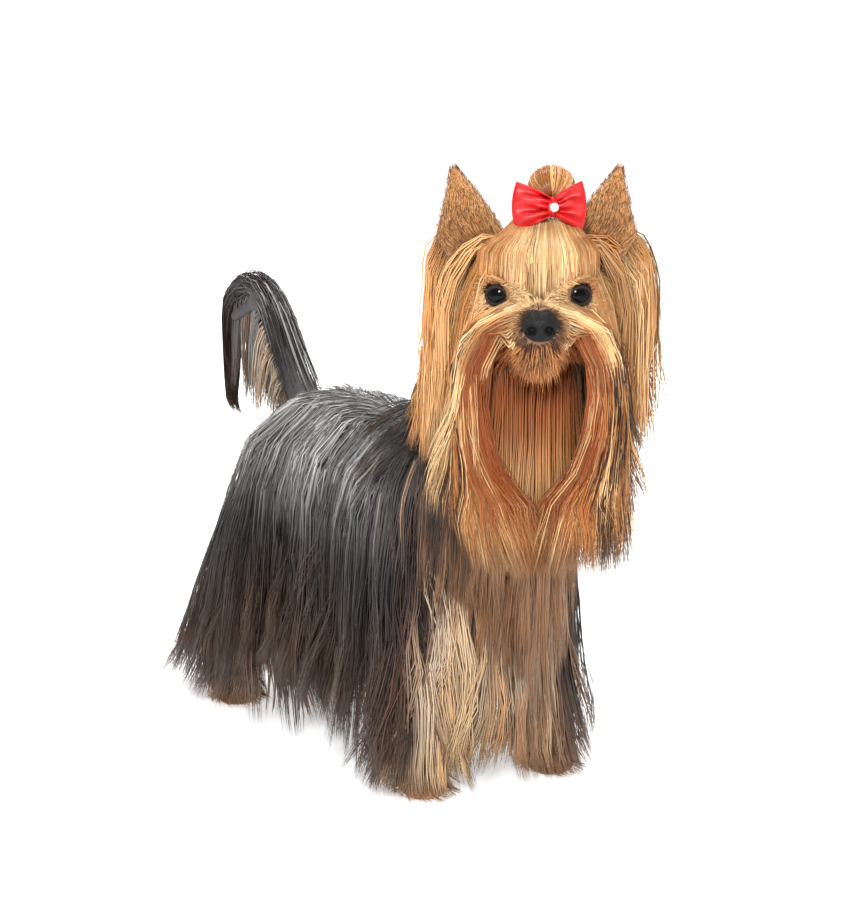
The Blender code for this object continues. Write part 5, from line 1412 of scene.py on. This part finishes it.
def tail_hair(skin, rng):
    """Grey and tan hair that hangs from the tail's underside."""
    arch = curve_through(ARCH, 60)
    count = int(1000 * looks().density)
    at = rng.uniform(3, 27, count)
    low = at.astype(int)
    share = (at - low)[:, None]
    middle = arch[low] * (1 - share) + arch[low + 1] * share
    turn = rng.uniform(0, np.pi, count)
    normals = np.stack((np.cos(turn), 0.55 * np.sin(turn) + 0.2, -0.6 * np.sin(turn)), axis=1)
    roots = middle + unit(normals) * 0.0045
    headings = np.stack((0.35 * np.cos(turn), 0.75 + 0.0 * turn, -0.45 + 0.0 * turn), axis=1)
    drift = np.stack((0.05 * np.cos(turn), rng.normal(0.0, 0.04, count), -np.ones(count)), axis=1)
    share = smooth(at, 3, 27)
    tips = 0.158 + 0.016 * share + np.abs(rng.normal(0, 0.012, count))
    tips = np.minimum(tips, roots[:, 2] - 0.012)
    obstacles = [(FORMS["tail"], 0.0), (FORMS["torso"], 0.009)]
    lengths = 1.1 * (roots[:, 2] - tips) + 0.02
    lines = drape(roots, headings, lengths, 0.0008 + 0.002 * rng.random(count), obstacles, drift, rng.uniform(0.003, 0.010, count))
    lines = trimmed(lines, tips, 7)
    lines, locks = gathered(lines, 60, 0.6, rng)
    lines = waved(lines, locks, unit(normals), 0.0030, 0.06, rng)
    streak = rng.random(locks.max() + 1)[locks]
    dark = smooth(share + 0.5 * (streak - 0.5), 0.75, 1.0)
    marks = {"tone": lock_marks(locks, rng), "tan": 0.45 * (1 - dark) * smooth(streak, 0.2, 0.6), "deep": dark * 0.9,
             "pale": (1 - dark) * (0.35 + 0.6 * smooth(streak, 0.3, 0.9))}
    return Hair(lines, unit(normals), looks().strand * rng.uniform(0.6, 1.1, count), marks)


def ball_mesh(name, centre, radii, rings, sides, warp=None):
    """A closed ball in the head's frame. A warp may move its points, given as unit directions."""
    rise = np.pi * np.arange(1, rings) / rings
    around = 2 * np.pi * np.arange(sides) / sides
    ring = np.stack(np.broadcast_arrays(
        np.sin(rise)[:, None] * np.cos(around), np.sin(rise)[:, None] * np.sin(around), np.cos(rise)[:, None]), axis=-1)
    points = np.concatenate(([(0, 0, 1)], ring.reshape(-1, 3), [(0, 0, -1)]))
    shaped = warp(points) if warp else points * radii
    points = np.array(head_point(*centre)) + head_vector(*shaped.T)
    faces = [(0, 1 + i, 1 + (i + 1) % sides) for i in range(sides)]
    for r in range(rings - 2):
        a, b = 1 + r * sides, 1 + (r + 1) * sides
        faces += [(a + i, b + i, b + (i + 1) % sides, a + (i + 1) % sides) for i in range(sides)]
    a, last = 1 + (rings - 2) * sides, len(points) - 1
    faces += [(a + i, last, a + (i + 1) % sides) for i in range(sides)]
    return plain_mesh(name, points, faces)


def eye_finish(side):
    look = bpy.context.scene.terrier_face
    finish = Finish("eye_" + WORDS[side], Roughness=0.035, IOR=1.22)
    centre = np.array(head_point(*eye_centre(side))) + TO_ROW
    gaze = head_vector(*eye_gaze(side))
    centred = finish.add("ShaderNodeVectorMath", {"operation": "SUBTRACT"}, {0: finish.place(), 1: tuple(centre)})
    ahead = finish.add("ShaderNodeVectorMath", {"operation": "DOT_PRODUCT"}, {0: centred, 1: tuple(gaze)}, "Value")
    share = ahead / EYE_RADIUS
    fibres = finish.noise(900.0, 3.0)
    iris = finish.mix(fibres, look.iris, tuple(2.2 * c for c in look.iris))
    edge = finish.mix(finish.step(share, 0.78, 0.84), (0.004, 0.003, 0.003), iris)
    finish.set("Base Color", finish.mix(finish.step(share, 0.900, 0.925), edge, (0.002, 0.002, 0.002)))
    return finish.material


def nose_finish():
    look = bpy.context.scene.terrier_face
    finish = Finish("nose_leather", Roughness=0.45, Specular_IOR_Level=0.14)
    cells = finish.add("ShaderNodeTexVoronoi", {"feature": "DISTANCE_TO_EDGE"}, {"Vector": finish.place(), "Scale": 1150.0}, "Distance")
    pebbles = finish.step(cells, 0.0, 0.22)
    broad = finish.noise(300.0, 3.0)
    finish.set("Base Color", finish.mix(broad, look.nose, tuple(2.4 * c for c in look.nose)))
    finish.set("Roughness", 0.30 + 0.22 * broad)
    finish.bump(pebbles, 0.00022, 0.8)
    return finish.material


def nose_shape(points):
    """The nose leather: a rounded block, with nostrils, their side slits and a groove down the front."""
    x, y, z = (np.sign(v) * np.abs(v) ** 0.82 for v in points.T)
    taper = 1 - 0.20 * np.maximum(0, -z)
    shaped = np.stack((
        x * NOSE_SIZE[0] / 2 * taper, y * NOSE_SIZE[1] / 2 + 0.0015 * z, z * NOSE_SIZE[2] / 2), axis=1)
    shaped[:, 2] += 0.0012 * np.exp(-(np.abs(shaped[:, 0]) - 0.004) ** 2 / 0.003**2) * (points[:, 2] > 0.3)
    for side in (1, -1):
        hole = np.array((side * 0.0043, -0.0072, -0.0012))
        way = (shaped - hole) / (0.0022, 0.0055, 0.0019)
        dent = np.exp(-np.sum(way**2, axis=1) ** 1.6)
        shaped += dent[:, None] * np.array((0, 0.0042, 0.0002))
        slit = np.array((side * 0.0078, -0.0045, -0.0023))
        way = (shaped - slit) / (0.0026, 0.0050, 0.0008)
        shaped += np.exp(-np.sum(way**2, axis=1))[:, None] * np.array((-side * 0.0012, 0.0016, 0))
    groove = np.exp(-(shaped[:, 0] / 0.0006) ** 2) * smooth(-points[:, 1], 0.3, 0.7) * smooth(-points[:, 2], -0.2, 0.2)
    shaped[:, 1] += 0.0011 * groove
    return shaped


def loop_mesh(name, lines, radii, sides=8):
    """Closed rings of round section along loops of points."""
    points, faces = [], []
    for line, radius in zip(lines, radii):
        line = np.asarray(line)
        count = len(line)
        tangents = unit(np.roll(line, -1, axis=0) - np.roll(line, 1, axis=0))
        first = unit(line - line.mean(axis=0))
        first = unit(first - tangents * np.sum(first * tangents, axis=1, keepdims=True))
        second = np.cross(tangents, first)
        base = sum(len(p) for p in points)
        turns = 2 * np.pi * np.arange(sides) / sides
        ring = np.cos(turns)[None, :, None] * first[:, None] + np.sin(turns)[None, :, None] * second[:, None]
        points.append((line[:, None] + np.broadcast_to(radius, count)[:, None, None] * ring).reshape(-1, 3))
        for i in range(count):
            for k in range(sides):
                a, b = base + i * sides, base + (i + 1) % count * sides
                faces.append((a + k, b + k, b + (k + 1) % sides, a + (k + 1) % sides))
    return plain_mesh(name, np.concatenate(points), faces)


def lid_line(side, count=40):
    centre, gaze = eye_centre(side), eye_gaze(side)
    across = unit(np.cross(gaze, (0.0, 0.0, 1.0)))
    rise = np.cross(across, gaze)
    turn = 2 * np.pi * np.arange(count) / count
    around = np.cos(turn)[:, None] * 0.0049 * across + (np.sin(turn) * 0.0045)[:, None] * rise
    corner = np.abs(np.cos(turn)) ** 6
    around = around * (1 + 0.10 * corner)[:, None]
    lift = np.sqrt((EYE_RADIUS + 0.0003) ** 2 - np.sum(around**2, axis=1))
    return np.array(HEAD_CENTRE) + head_vector(*(centre + around + gaze * lift[:, None]).T)


def bare_finish():
    look = bpy.context.scene.terrier_face
    finish = Finish("bare_skin", Roughness=0.60, Specular_IOR_Level=0.20)
    grain = finish.noise(700.0, 3.0)
    finish.set("Base Color", finish.mix(grain, look.skin, tuple(1.8 * c for c in look.skin)))
    finish.bump(grain, 0.0002)
    return finish.material


def mouth_line(shrink, rise, count=24):
    turn = np.pi * (np.linspace(0, 1, count) * 1.16 - 0.08)
    ahead = np.sin(turn)
    return np.array(HEAD_CENTRE) + head_vector(
        np.cos(turn) * (0.0104 - shrink), -0.0295 - ahead * (0.0142 - shrink),
        -0.0262 + rise - 0.0035 * np.abs(np.cos(turn)) ** 2)


def rod_mesh(name, lines, radius, sides=8):
    """Closed rods along open lines, round at both ends."""
    points, faces = [], []
    for line in lines:
        count = len(line)
        tangents = unit(np.gradient(line, axis=0))
        first = unit(np.cross(tangents, (0.0, 0.0, 1.0)))
        second = np.cross(tangents, first)
        ends = np.sqrt(np.clip(1 - np.linspace(-1, 1, count) ** 8, 0.02, 1))
        turns = 2 * np.pi * np.arange(sides) / sides
        ring = np.cos(turns)[None, :, None] * first[:, None] + np.sin(turns)[None, :, None] * second[:, None]
        base = sum(len(p) for p in points)
        points.append((line[:, None] + radius * ends[:, None, None] * ring).reshape(-1, 3))
        for i in range(count - 1):
            a, b = base + i * sides, base + (i + 1) * sides
            faces += [(a + k, b + k, b + (k + 1) % sides, a + (k + 1) % sides) for k in range(sides)]
        faces.append(tuple(base + k for k in range(sides)))
        faces.append(tuple(base + (count - 1) * sides + k for k in reversed(range(sides))))
    return plain_mesh(name, np.concatenate(points), faces)


def satin_finish():
    look = bpy.context.scene.terrier_bow
    finish = Finish("red_satin", Roughness=0.40, Specular_IOR_Level=0.40)
    weave = finish.noise(2600.0, 2.0, stretch=(1.0, 1.0, 0.12))
    # Noise patches lighten the satin towards the sheen red: painted sheen standing in for light on the ribbon's folds
    fold = finish.noise(150.0, 2.0)
    satin_and_sheen = finish.mix(finish.step(fold, 0.42, 0.72, 0.0, 0.55), look.satin, look.sheen)
    finish.set("Base Color", satin_and_sheen)
    finish.set("Roughness", 0.34 + 0.16 * weave)
    finish.bump(weave, 0.00005, 0.6)
    return finish.material


def ribbon_loop(name, side, reach, height, depth, tilt, pleats, rows=30, columns=28, thickness=0.0004):
    """A loop of ribbon: out from the knot in front, folded over and back behind, pleated at the knot."""
    turn = np.pi * np.linspace(0, 1, rows)
    out = reach * (1 - np.abs(np.cos(turn)) ** 2.4) ** 0.8
    ahead = 0.0011 * np.cos(turn) + depth * np.cos(turn) * np.sin(turn) ** 0.7
    share = (out / reach)[:, None]
    v = np.linspace(-1, 1, columns)[None, :]
    half = 0.0036 + (height / 2 - 0.0036) * share**0.75
    fold = 0.0019 * (1 - share) ** 0.3 * np.sin(np.pi * np.minimum(share * 2.2, 1))
    soft = 0.0014 * np.sin(np.pi * share) * np.sin(2.3 * v * np.pi + 0.6 * side)
    ripple = fold * np.cos(pleats * np.pi * v) * np.sign(ahead + 1e-9)[:, None] + soft
    bend = 0.0022 * share * (1 - v**2)
    x = side * (out[:, None] + bend * share) * math.cos(tilt) - v * half * math.sin(tilt) * side * 0.35
    z = v * half * (1 - 0.05 * share) + out[:, None] * math.sin(tilt)
    y = -(ahead[:, None] + ripple)
    front = np.array([[bow_point(x[r, c], y[r, c], z[r, c]) for c in range(columns)] for r in range(rows)])
    normals = unit(np.cross(np.gradient(front, axis=0), np.gradient(front, axis=1)))
    points = np.concatenate((front.reshape(-1, 3), (front - normals * thickness).reshape(-1, 3)))
    steps = np.linalg.norm(np.diff(front[:, columns // 2], axis=0), axis=1).sum()
    return grid_solid(name, points, rows, columns, side > 0), (height, float(steps))


def knot_shape(points):
    """The band round the bow's middle, with soft lengthwise folds."""
    x, y, z = points.T
    folds = 1 + 0.07 * np.cos(7 * np.arctan2(x, z * 0.4))
    shaped = np.stack((x * 0.0034 * folds, y * 0.0049, np.sign(z) * np.abs(z) ** 0.8 * 0.0054), axis=1)
    shaped[:, 1] -= 0.0005 * np.cos(x * 9) * (y < 0)
    return shaped


def pearl_finish():
    look = bpy.context.scene.terrier_bow
    finish = Finish("pearl", Roughness=0.16, Coat_Weight=0.7, Coat_Roughness=0.06, Subsurface_Weight=0.12)
    cloud = finish.noise(500.0, 3.0)
    finish.set("Base Color", finish.mix(cloud, look.pearl, (0.92, 0.80, 0.78)))
    return finish.material


class TERRIER_OT_skin(bpy.types.Operator):
    """One skin over the whole body, under the coat"""

    bl_idname = "terrier.skin"
    bl_label = "Skin"

    def execute(self, context):
        skin = the_skin()
        corners = skin.faces.ravel()
        starts = 4 * np.arange(len(skin.faces))
        points = skin.points.copy()
        local = in_head(points)
        for side in (1, -1):
            centre, gaze = eye_centre(side), eye_gaze(side)
            way = local - centre
            ahead = way @ gaze
            off = np.linalg.norm(way - ahead[:, None] * gaze, axis=1)
            sink = (1 - smooth(off, 0.0044, 0.0056)) * (ahead > 0)
            points -= head_vector(*gaze) * (sink * 0.0050)[:, None]
        local = in_head(points)
        groove = np.exp(-((local[:, 2] + 0.0262 + 0.0035 * np.clip(np.abs(local[:, 0]) / 0.0104, 0, 1) ** 2) / 0.0008) ** 2)
        groove *= smooth(-local[:, 1], 0.024, 0.030)
        points -= skin.normals * (0.0012 * groove)[:, None]
        marks = {"tan": tan_share(skin.points)}
        mesh = build_mesh("skin", points, corners, starts, np.full(len(skin.faces), 4), marks)
        show("skin", mesh, skin_finish(), "tan_hair", "torso", "neck", "head", "tail", "tail_plume", "topknot", *LEGS)
        return {"FINISHED"}


class TERRIER_OT_body_coat(bpy.types.Operator):
    """Hair of the back, sides and breast"""

    bl_idname = "terrier.body_coat"
    bl_label = "Body coat"

    def execute(self, context):
        rng = np.random.default_rng(SEED)
        skin = the_skin()
        hair, x, y = body_hair(skin, rng)
        spine = skin.of("torso") & (skin.centres[:, 2] > 0.160) & (np.abs(skin.centres[:, 0]) < 0.024)
        fur = under_fur(skin, spine, 1000, spine_way, 0.022, {"tan": 0.0, "pale": 0.35, "deep": 0.15}, np.random.default_rng(SEED + 5))
        breast = y < -0.098
        axis = ((0, -0.13, 0.15), (0, 0.09, 0.15))
        for name, keep in (
            ("coat_breast", breast), ("coat_side_left", ~breast & (x > 0)), ("coat_side_right", ~breast & (x <= 0)),
        ):
            hairs = [hair.part(keep)]
            if name != "coat_breast":
                hairs.append(fur.part((fur.lines[:, 0, 0] > 0) == (name == "coat_side_left")))
            coat_piece(name, hairs, hair_finish(), "steel_hair", axis)
        neck = neck_hair(skin, rng)
        coat_piece("coat_neck", [neck], hair_finish(), "tan_hair", ((0, -0.09, 0.16), (0, -0.13, 0.25)))
        return {"FINISHED"}


class TERRIER_OT_leg_coat(bpy.types.Operator):
    """Hair of the legs and paws"""

    bl_idname = "terrier.leg_coat"
    bl_label = "Leg coat"

    def execute(self, context):
        for i, name in enumerate(LEGS):
            hairs = leg_hair(the_skin(), name, np.random.default_rng(SEED + 20 + i))
            start, end = FORMS[name][0][0][0], FORMS[name][0][1][1]
            coat_piece("coat_" + name, hairs, hair_finish(), "tan_hair", (start, end))
        return {"FINISHED"}


class TERRIER_OT_head_coat(bpy.types.Operator):
    """Fur of the face, the forehead, and the long hair that frames the face"""

    bl_idname = "terrier.head_coat"
    bl_label = "Head coat"

    def execute(self, context):
        rng = np.random.default_rng(SEED + 40)
        skin = the_skin()
        axis = (head_point(0, -0.06, 0), head_point(0, 0.04, 0))
        local = in_head(skin.centres)
        skull = skin.of("head") & (local[:, 1] > 0.000) & (local[:, 2] > 0.008)
        fur = under_fur(skin, skull, 1000, skull_way, 0.018, {"tan": 1.0, "pale": 0.35, "deep": 0.20}, np.random.default_rng(SEED + 45))
        coat_piece("coat_face", [face_fur(skin, rng), fur], hair_finish(), "tan_hair", axis)
        coat_piece("coat_forehead", [forehead_hair(skin, rng)], hair_finish(), "tan_hair", axis)
        for name, hairs in (
            ("coat_moustache", (moustache_hair(skin, rng), chin_hair(skin, rng))), ("coat_cheeks", (cheek_hair(skin, rng),)),
        ):
            for side, word in WORDS.items():
                halves = [hair.part(side * x > 0) for hair, x in hairs]
                coat_piece(name + "_" + word, halves, hair_finish(), "tan_hair", axis)
        coat_piece("coat_topknot", [knot_hair(rng)], hair_finish(), "tan_hair",
                   (head_point(*KNOT_AT), head_point(KNOT_AT[0], KNOT_AT[1], KNOT_AT[2] + 0.02)))
        return {"FINISHED"}


class TERRIER_OT_ears(bpy.types.Operator):
    """The ears, their fur and their long hair"""

    bl_idname = "terrier.ears"
    bl_label = "Ears"

    def execute(self, context):
        material = ear_finish()
        for side, word in WORDS.items():
            rng = np.random.default_rng(SEED + 60 + side)
            show("ear_cup_" + word, ear_mesh("ear_cup_" + word, side), material, "ear_fur", "ear_" + word)
            hairs = [*ear_fur(side, rng), ear_curtain(side, rng)]
            axis = (tuple(ear_spot(side, 0.5, 0.0)), tuple(ear_spot(side, 0.5, 1.0)))
            coat_piece("coat_ear_" + word, hairs, hair_finish(), "tan_hair", axis)
        return {"FINISHED"}


class TERRIER_OT_tail_coat(bpy.types.Operator):
    """Hair of the tail and its plume"""

    bl_idname = "terrier.tail_coat"
    bl_label = "Tail coat"

    def execute(self, context):
        rng = np.random.default_rng(SEED + 80)
        skin = the_skin()
        coat_piece("coat_tail", [tail_hair(skin, rng)], hair_finish(), "steel_hair", (TAIL_ROOT, TAIL_TOP))
        coat_piece("coat_plume", [plume_hair(rng)], hair_finish(), "black_hair", (TAIL_TOP, TAIL_END))
        return {"FINISHED"}


class TERRIER_OT_face(bpy.types.Operator):
    """Eyes, lids, lips and nose"""

    bl_idname = "terrier.face"
    bl_label = "Face"

    def execute(self, context):
        for side, word in WORDS.items():
            mesh = ball_mesh("eyeball_" + word, eye_centre(side), EYE_RADIUS * 0.995, 32, 48)
            show("eyeball_" + word, mesh, eye_finish(side), "eye_gloss", "eye_" + word)
        bare = bare_finish()
        lids = loop_mesh("eyelids", [lid_line(1), lid_line(-1)], (0.0009, 0.0009))
        show("eyelids", lids, bare, "nose_leather")
        lips = rod_mesh("lips", [mouth_line(0.0010, 0.0016), mouth_line(0.0016, -0.0016)], 0.0010)
        show("lips", lips, bare, "nose_leather")
        nose = ball_mesh("nose_pad", NOSE_AT, 1.0, 60, 90, nose_shape)
        show("nose_pad", nose, nose_finish(), "nose_leather", "nose")
        return {"FINISHED"}


class TERRIER_OT_bow(bpy.types.Operator):
    """Red satin bow with a pearl"""

    bl_idname = "terrier.bow"
    bl_label = "Bow"

    def execute(self, context):
        satin = satin_finish()
        for word, side, reach, height, depth, tilt, pleats in (
            ("right", -1, 0.0182, 0.0262, 0.0032, 0.02, 4.0), ("left", 1, 0.0150, 0.0268, 0.0036, 0.04, 3.0),
        ):
            mesh, flat = ribbon_loop("ribbon_" + word, side, reach, height, depth, tilt, pleats)
            piece = show("ribbon_" + word, mesh, satin, "red_satin", "bow_" + word)
            0.74 * flat[0] * flat[1]
        knot = ball_mesh("ribbon_knot", (0, 0, 0), 1.0, 24, 40, knot_shape)
        move_to_bow(knot, (0, 0, 0))
        show("ribbon_knot", knot, satin, "red_satin", "bow_knot")
        pearl = ball_mesh("bead", (0, 0, 0), 0.0023, 24, 36)
        move_to_bow(pearl, PEARL_AT)
        show("bead", pearl, pearl_finish(), "pearl", "bow_pearl")
        return {"FINISHED"}


def move_to_bow(mesh, spot):
    """Moves a mesh made round the head's centre to a place of the bow's frame."""
    way = np.array(bow_point(*spot)) - np.array(HEAD_CENTRE)
    for vertex in mesh.vertices:
        vertex.co += Vector(way)


class TERRIER_OT_stage(bpy.types.Operator):
    """Floor, light and camera"""

    bl_idname = "terrier.stage"
    bl_label = "Stage"

    def execute(self, context):
        look = context.scene.terrier_stage
        mesh = bpy.data.meshes.new("floor")
        mesh.from_pydata([(-20, -20, 0), (20, -20, 0), (20, 20, 0), (-20, 20, 0)], [], [(0, 1, 2, 3)])
        finish = Finish("floor", Roughness=0.85)
        finish.shader.inputs["Base Color"].default_value = (*look.floor, 1)
        finish.shader.inputs["Emission Color"].default_value = (1.0, 1.0, 1.0, 1.0)
        finish.shader.inputs["Emission Strength"].default_value = look.glow
        mesh.materials.append(finish.material)
        floor = bpy.data.objects.new("floor", mesh)
        context.scene.collection.objects.link(floor)
        world = bpy.data.worlds.new("studio")
        world.use_nodes = True
        world.node_tree.nodes["Background"].inputs[0].default_value = (1.0, 1.0, 1.0, 1.0)
        world.node_tree.nodes["Background"].inputs[1].default_value = look.sky
        context.scene.world = world
        context.scene.view_settings.view_transform = "Standard"
        for name, spot, size, power in (
            ("key", (-0.95, -1.30, 0.95), 0.30, look.key), ("fill", (1.5, -1.2, 0.9), 1.2, look.key * 0.25),
            ("top", (-0.1, 0.2, 1.6), 0.7, look.key * 0.8), ("rim", (0.7, 1.3, 1.0), 0.6, look.key * 0.5),
        ):
            self.light(context, name, spot, size, power)
        self.camera(context)
        return {"FINISHED"}

    def light(self, context, name, spot, size, power):
        data = bpy.data.lights.new(name, "AREA")
        data.energy = power
        data.size = size
        lamp = bpy.data.objects.new(name, data)
        lamp.location = spot
        lamp.rotation_euler = (Vector((0, 0, 0.15)) - lamp.location).to_track_quat("-Z", "Y").to_euler()
        context.scene.collection.objects.link(lamp)

    def camera(self, context):
        data = bpy.data.cameras.new("camera")
        data.sensor_fit = "VERTICAL"
        data.sensor_height = 36.0
        data.lens = FOCAL_PIXELS / PICTURE_HEIGHT * data.sensor_height
        camera = bpy.data.objects.new("camera", data)
        at = Vector(np.array(CAMERA_AT) + TO_ROW)
        aim = Vector(np.array(CAMERA_AIM) + TO_ROW)
        camera.location = at
        camera.rotation_euler = (aim - at).to_track_quat("-Z", "Y").to_euler()
        context.scene.collection.objects.link(camera)
        context.scene.camera = camera


class TERRIER_PT_panel(bpy.types.Panel):
    """Lists the terrier's pieces"""

    bl_idname = "TERRIER_PT_panel"
    bl_label = "Terrier"
    bl_space_type = "VIEW_3D"
    bl_region_type = "UI"
    bl_category = "Terrier"

    def draw(self, context):
        for group in ("terrier_coat", "terrier_face", "terrier_bow", "terrier_stage"):
            settings = getattr(context.scene, group)
            for key in settings.__annotations__:
                self.layout.prop(settings, key)
        for operator in OPERATORS:
            self.layout.operator(operator.bl_idname)


GROUPS = {"terrier_coat": CoatLook, "terrier_face": FaceLook, "terrier_bow": BowLook, "terrier_stage": StageLook}
OPERATORS = (
    TERRIER_OT_skin, TERRIER_OT_body_coat, TERRIER_OT_leg_coat, TERRIER_OT_head_coat, TERRIER_OT_ears,
    TERRIER_OT_tail_coat, TERRIER_OT_face, TERRIER_OT_bow, TERRIER_OT_stage,
)


def register():
    for made in (*GROUPS.values(), *OPERATORS, TERRIER_PT_panel):
        bpy.utils.register_class(made)
    for name, group in GROUPS.items():
        setattr(bpy.types.Scene, name, PointerProperty(type=group))


def unregister():
    for name in GROUPS:
        delattr(bpy.types.Scene, name)
    for made in reversed((*GROUPS.values(), *OPERATORS, TERRIER_PT_panel)):
        bpy.utils.unregister_class(made)


def main():
    register()
    bpy.ops.terrier.skin()
    bpy.ops.terrier.body_coat()
    bpy.ops.terrier.leg_coat()
    bpy.ops.terrier.head_coat()
    bpy.ops.terrier.ears()
    bpy.ops.terrier.tail_coat()
    bpy.ops.terrier.face()
    bpy.ops.terrier.bow()
    bpy.ops.terrier.stage()


if __name__ == "__main__":
    main()
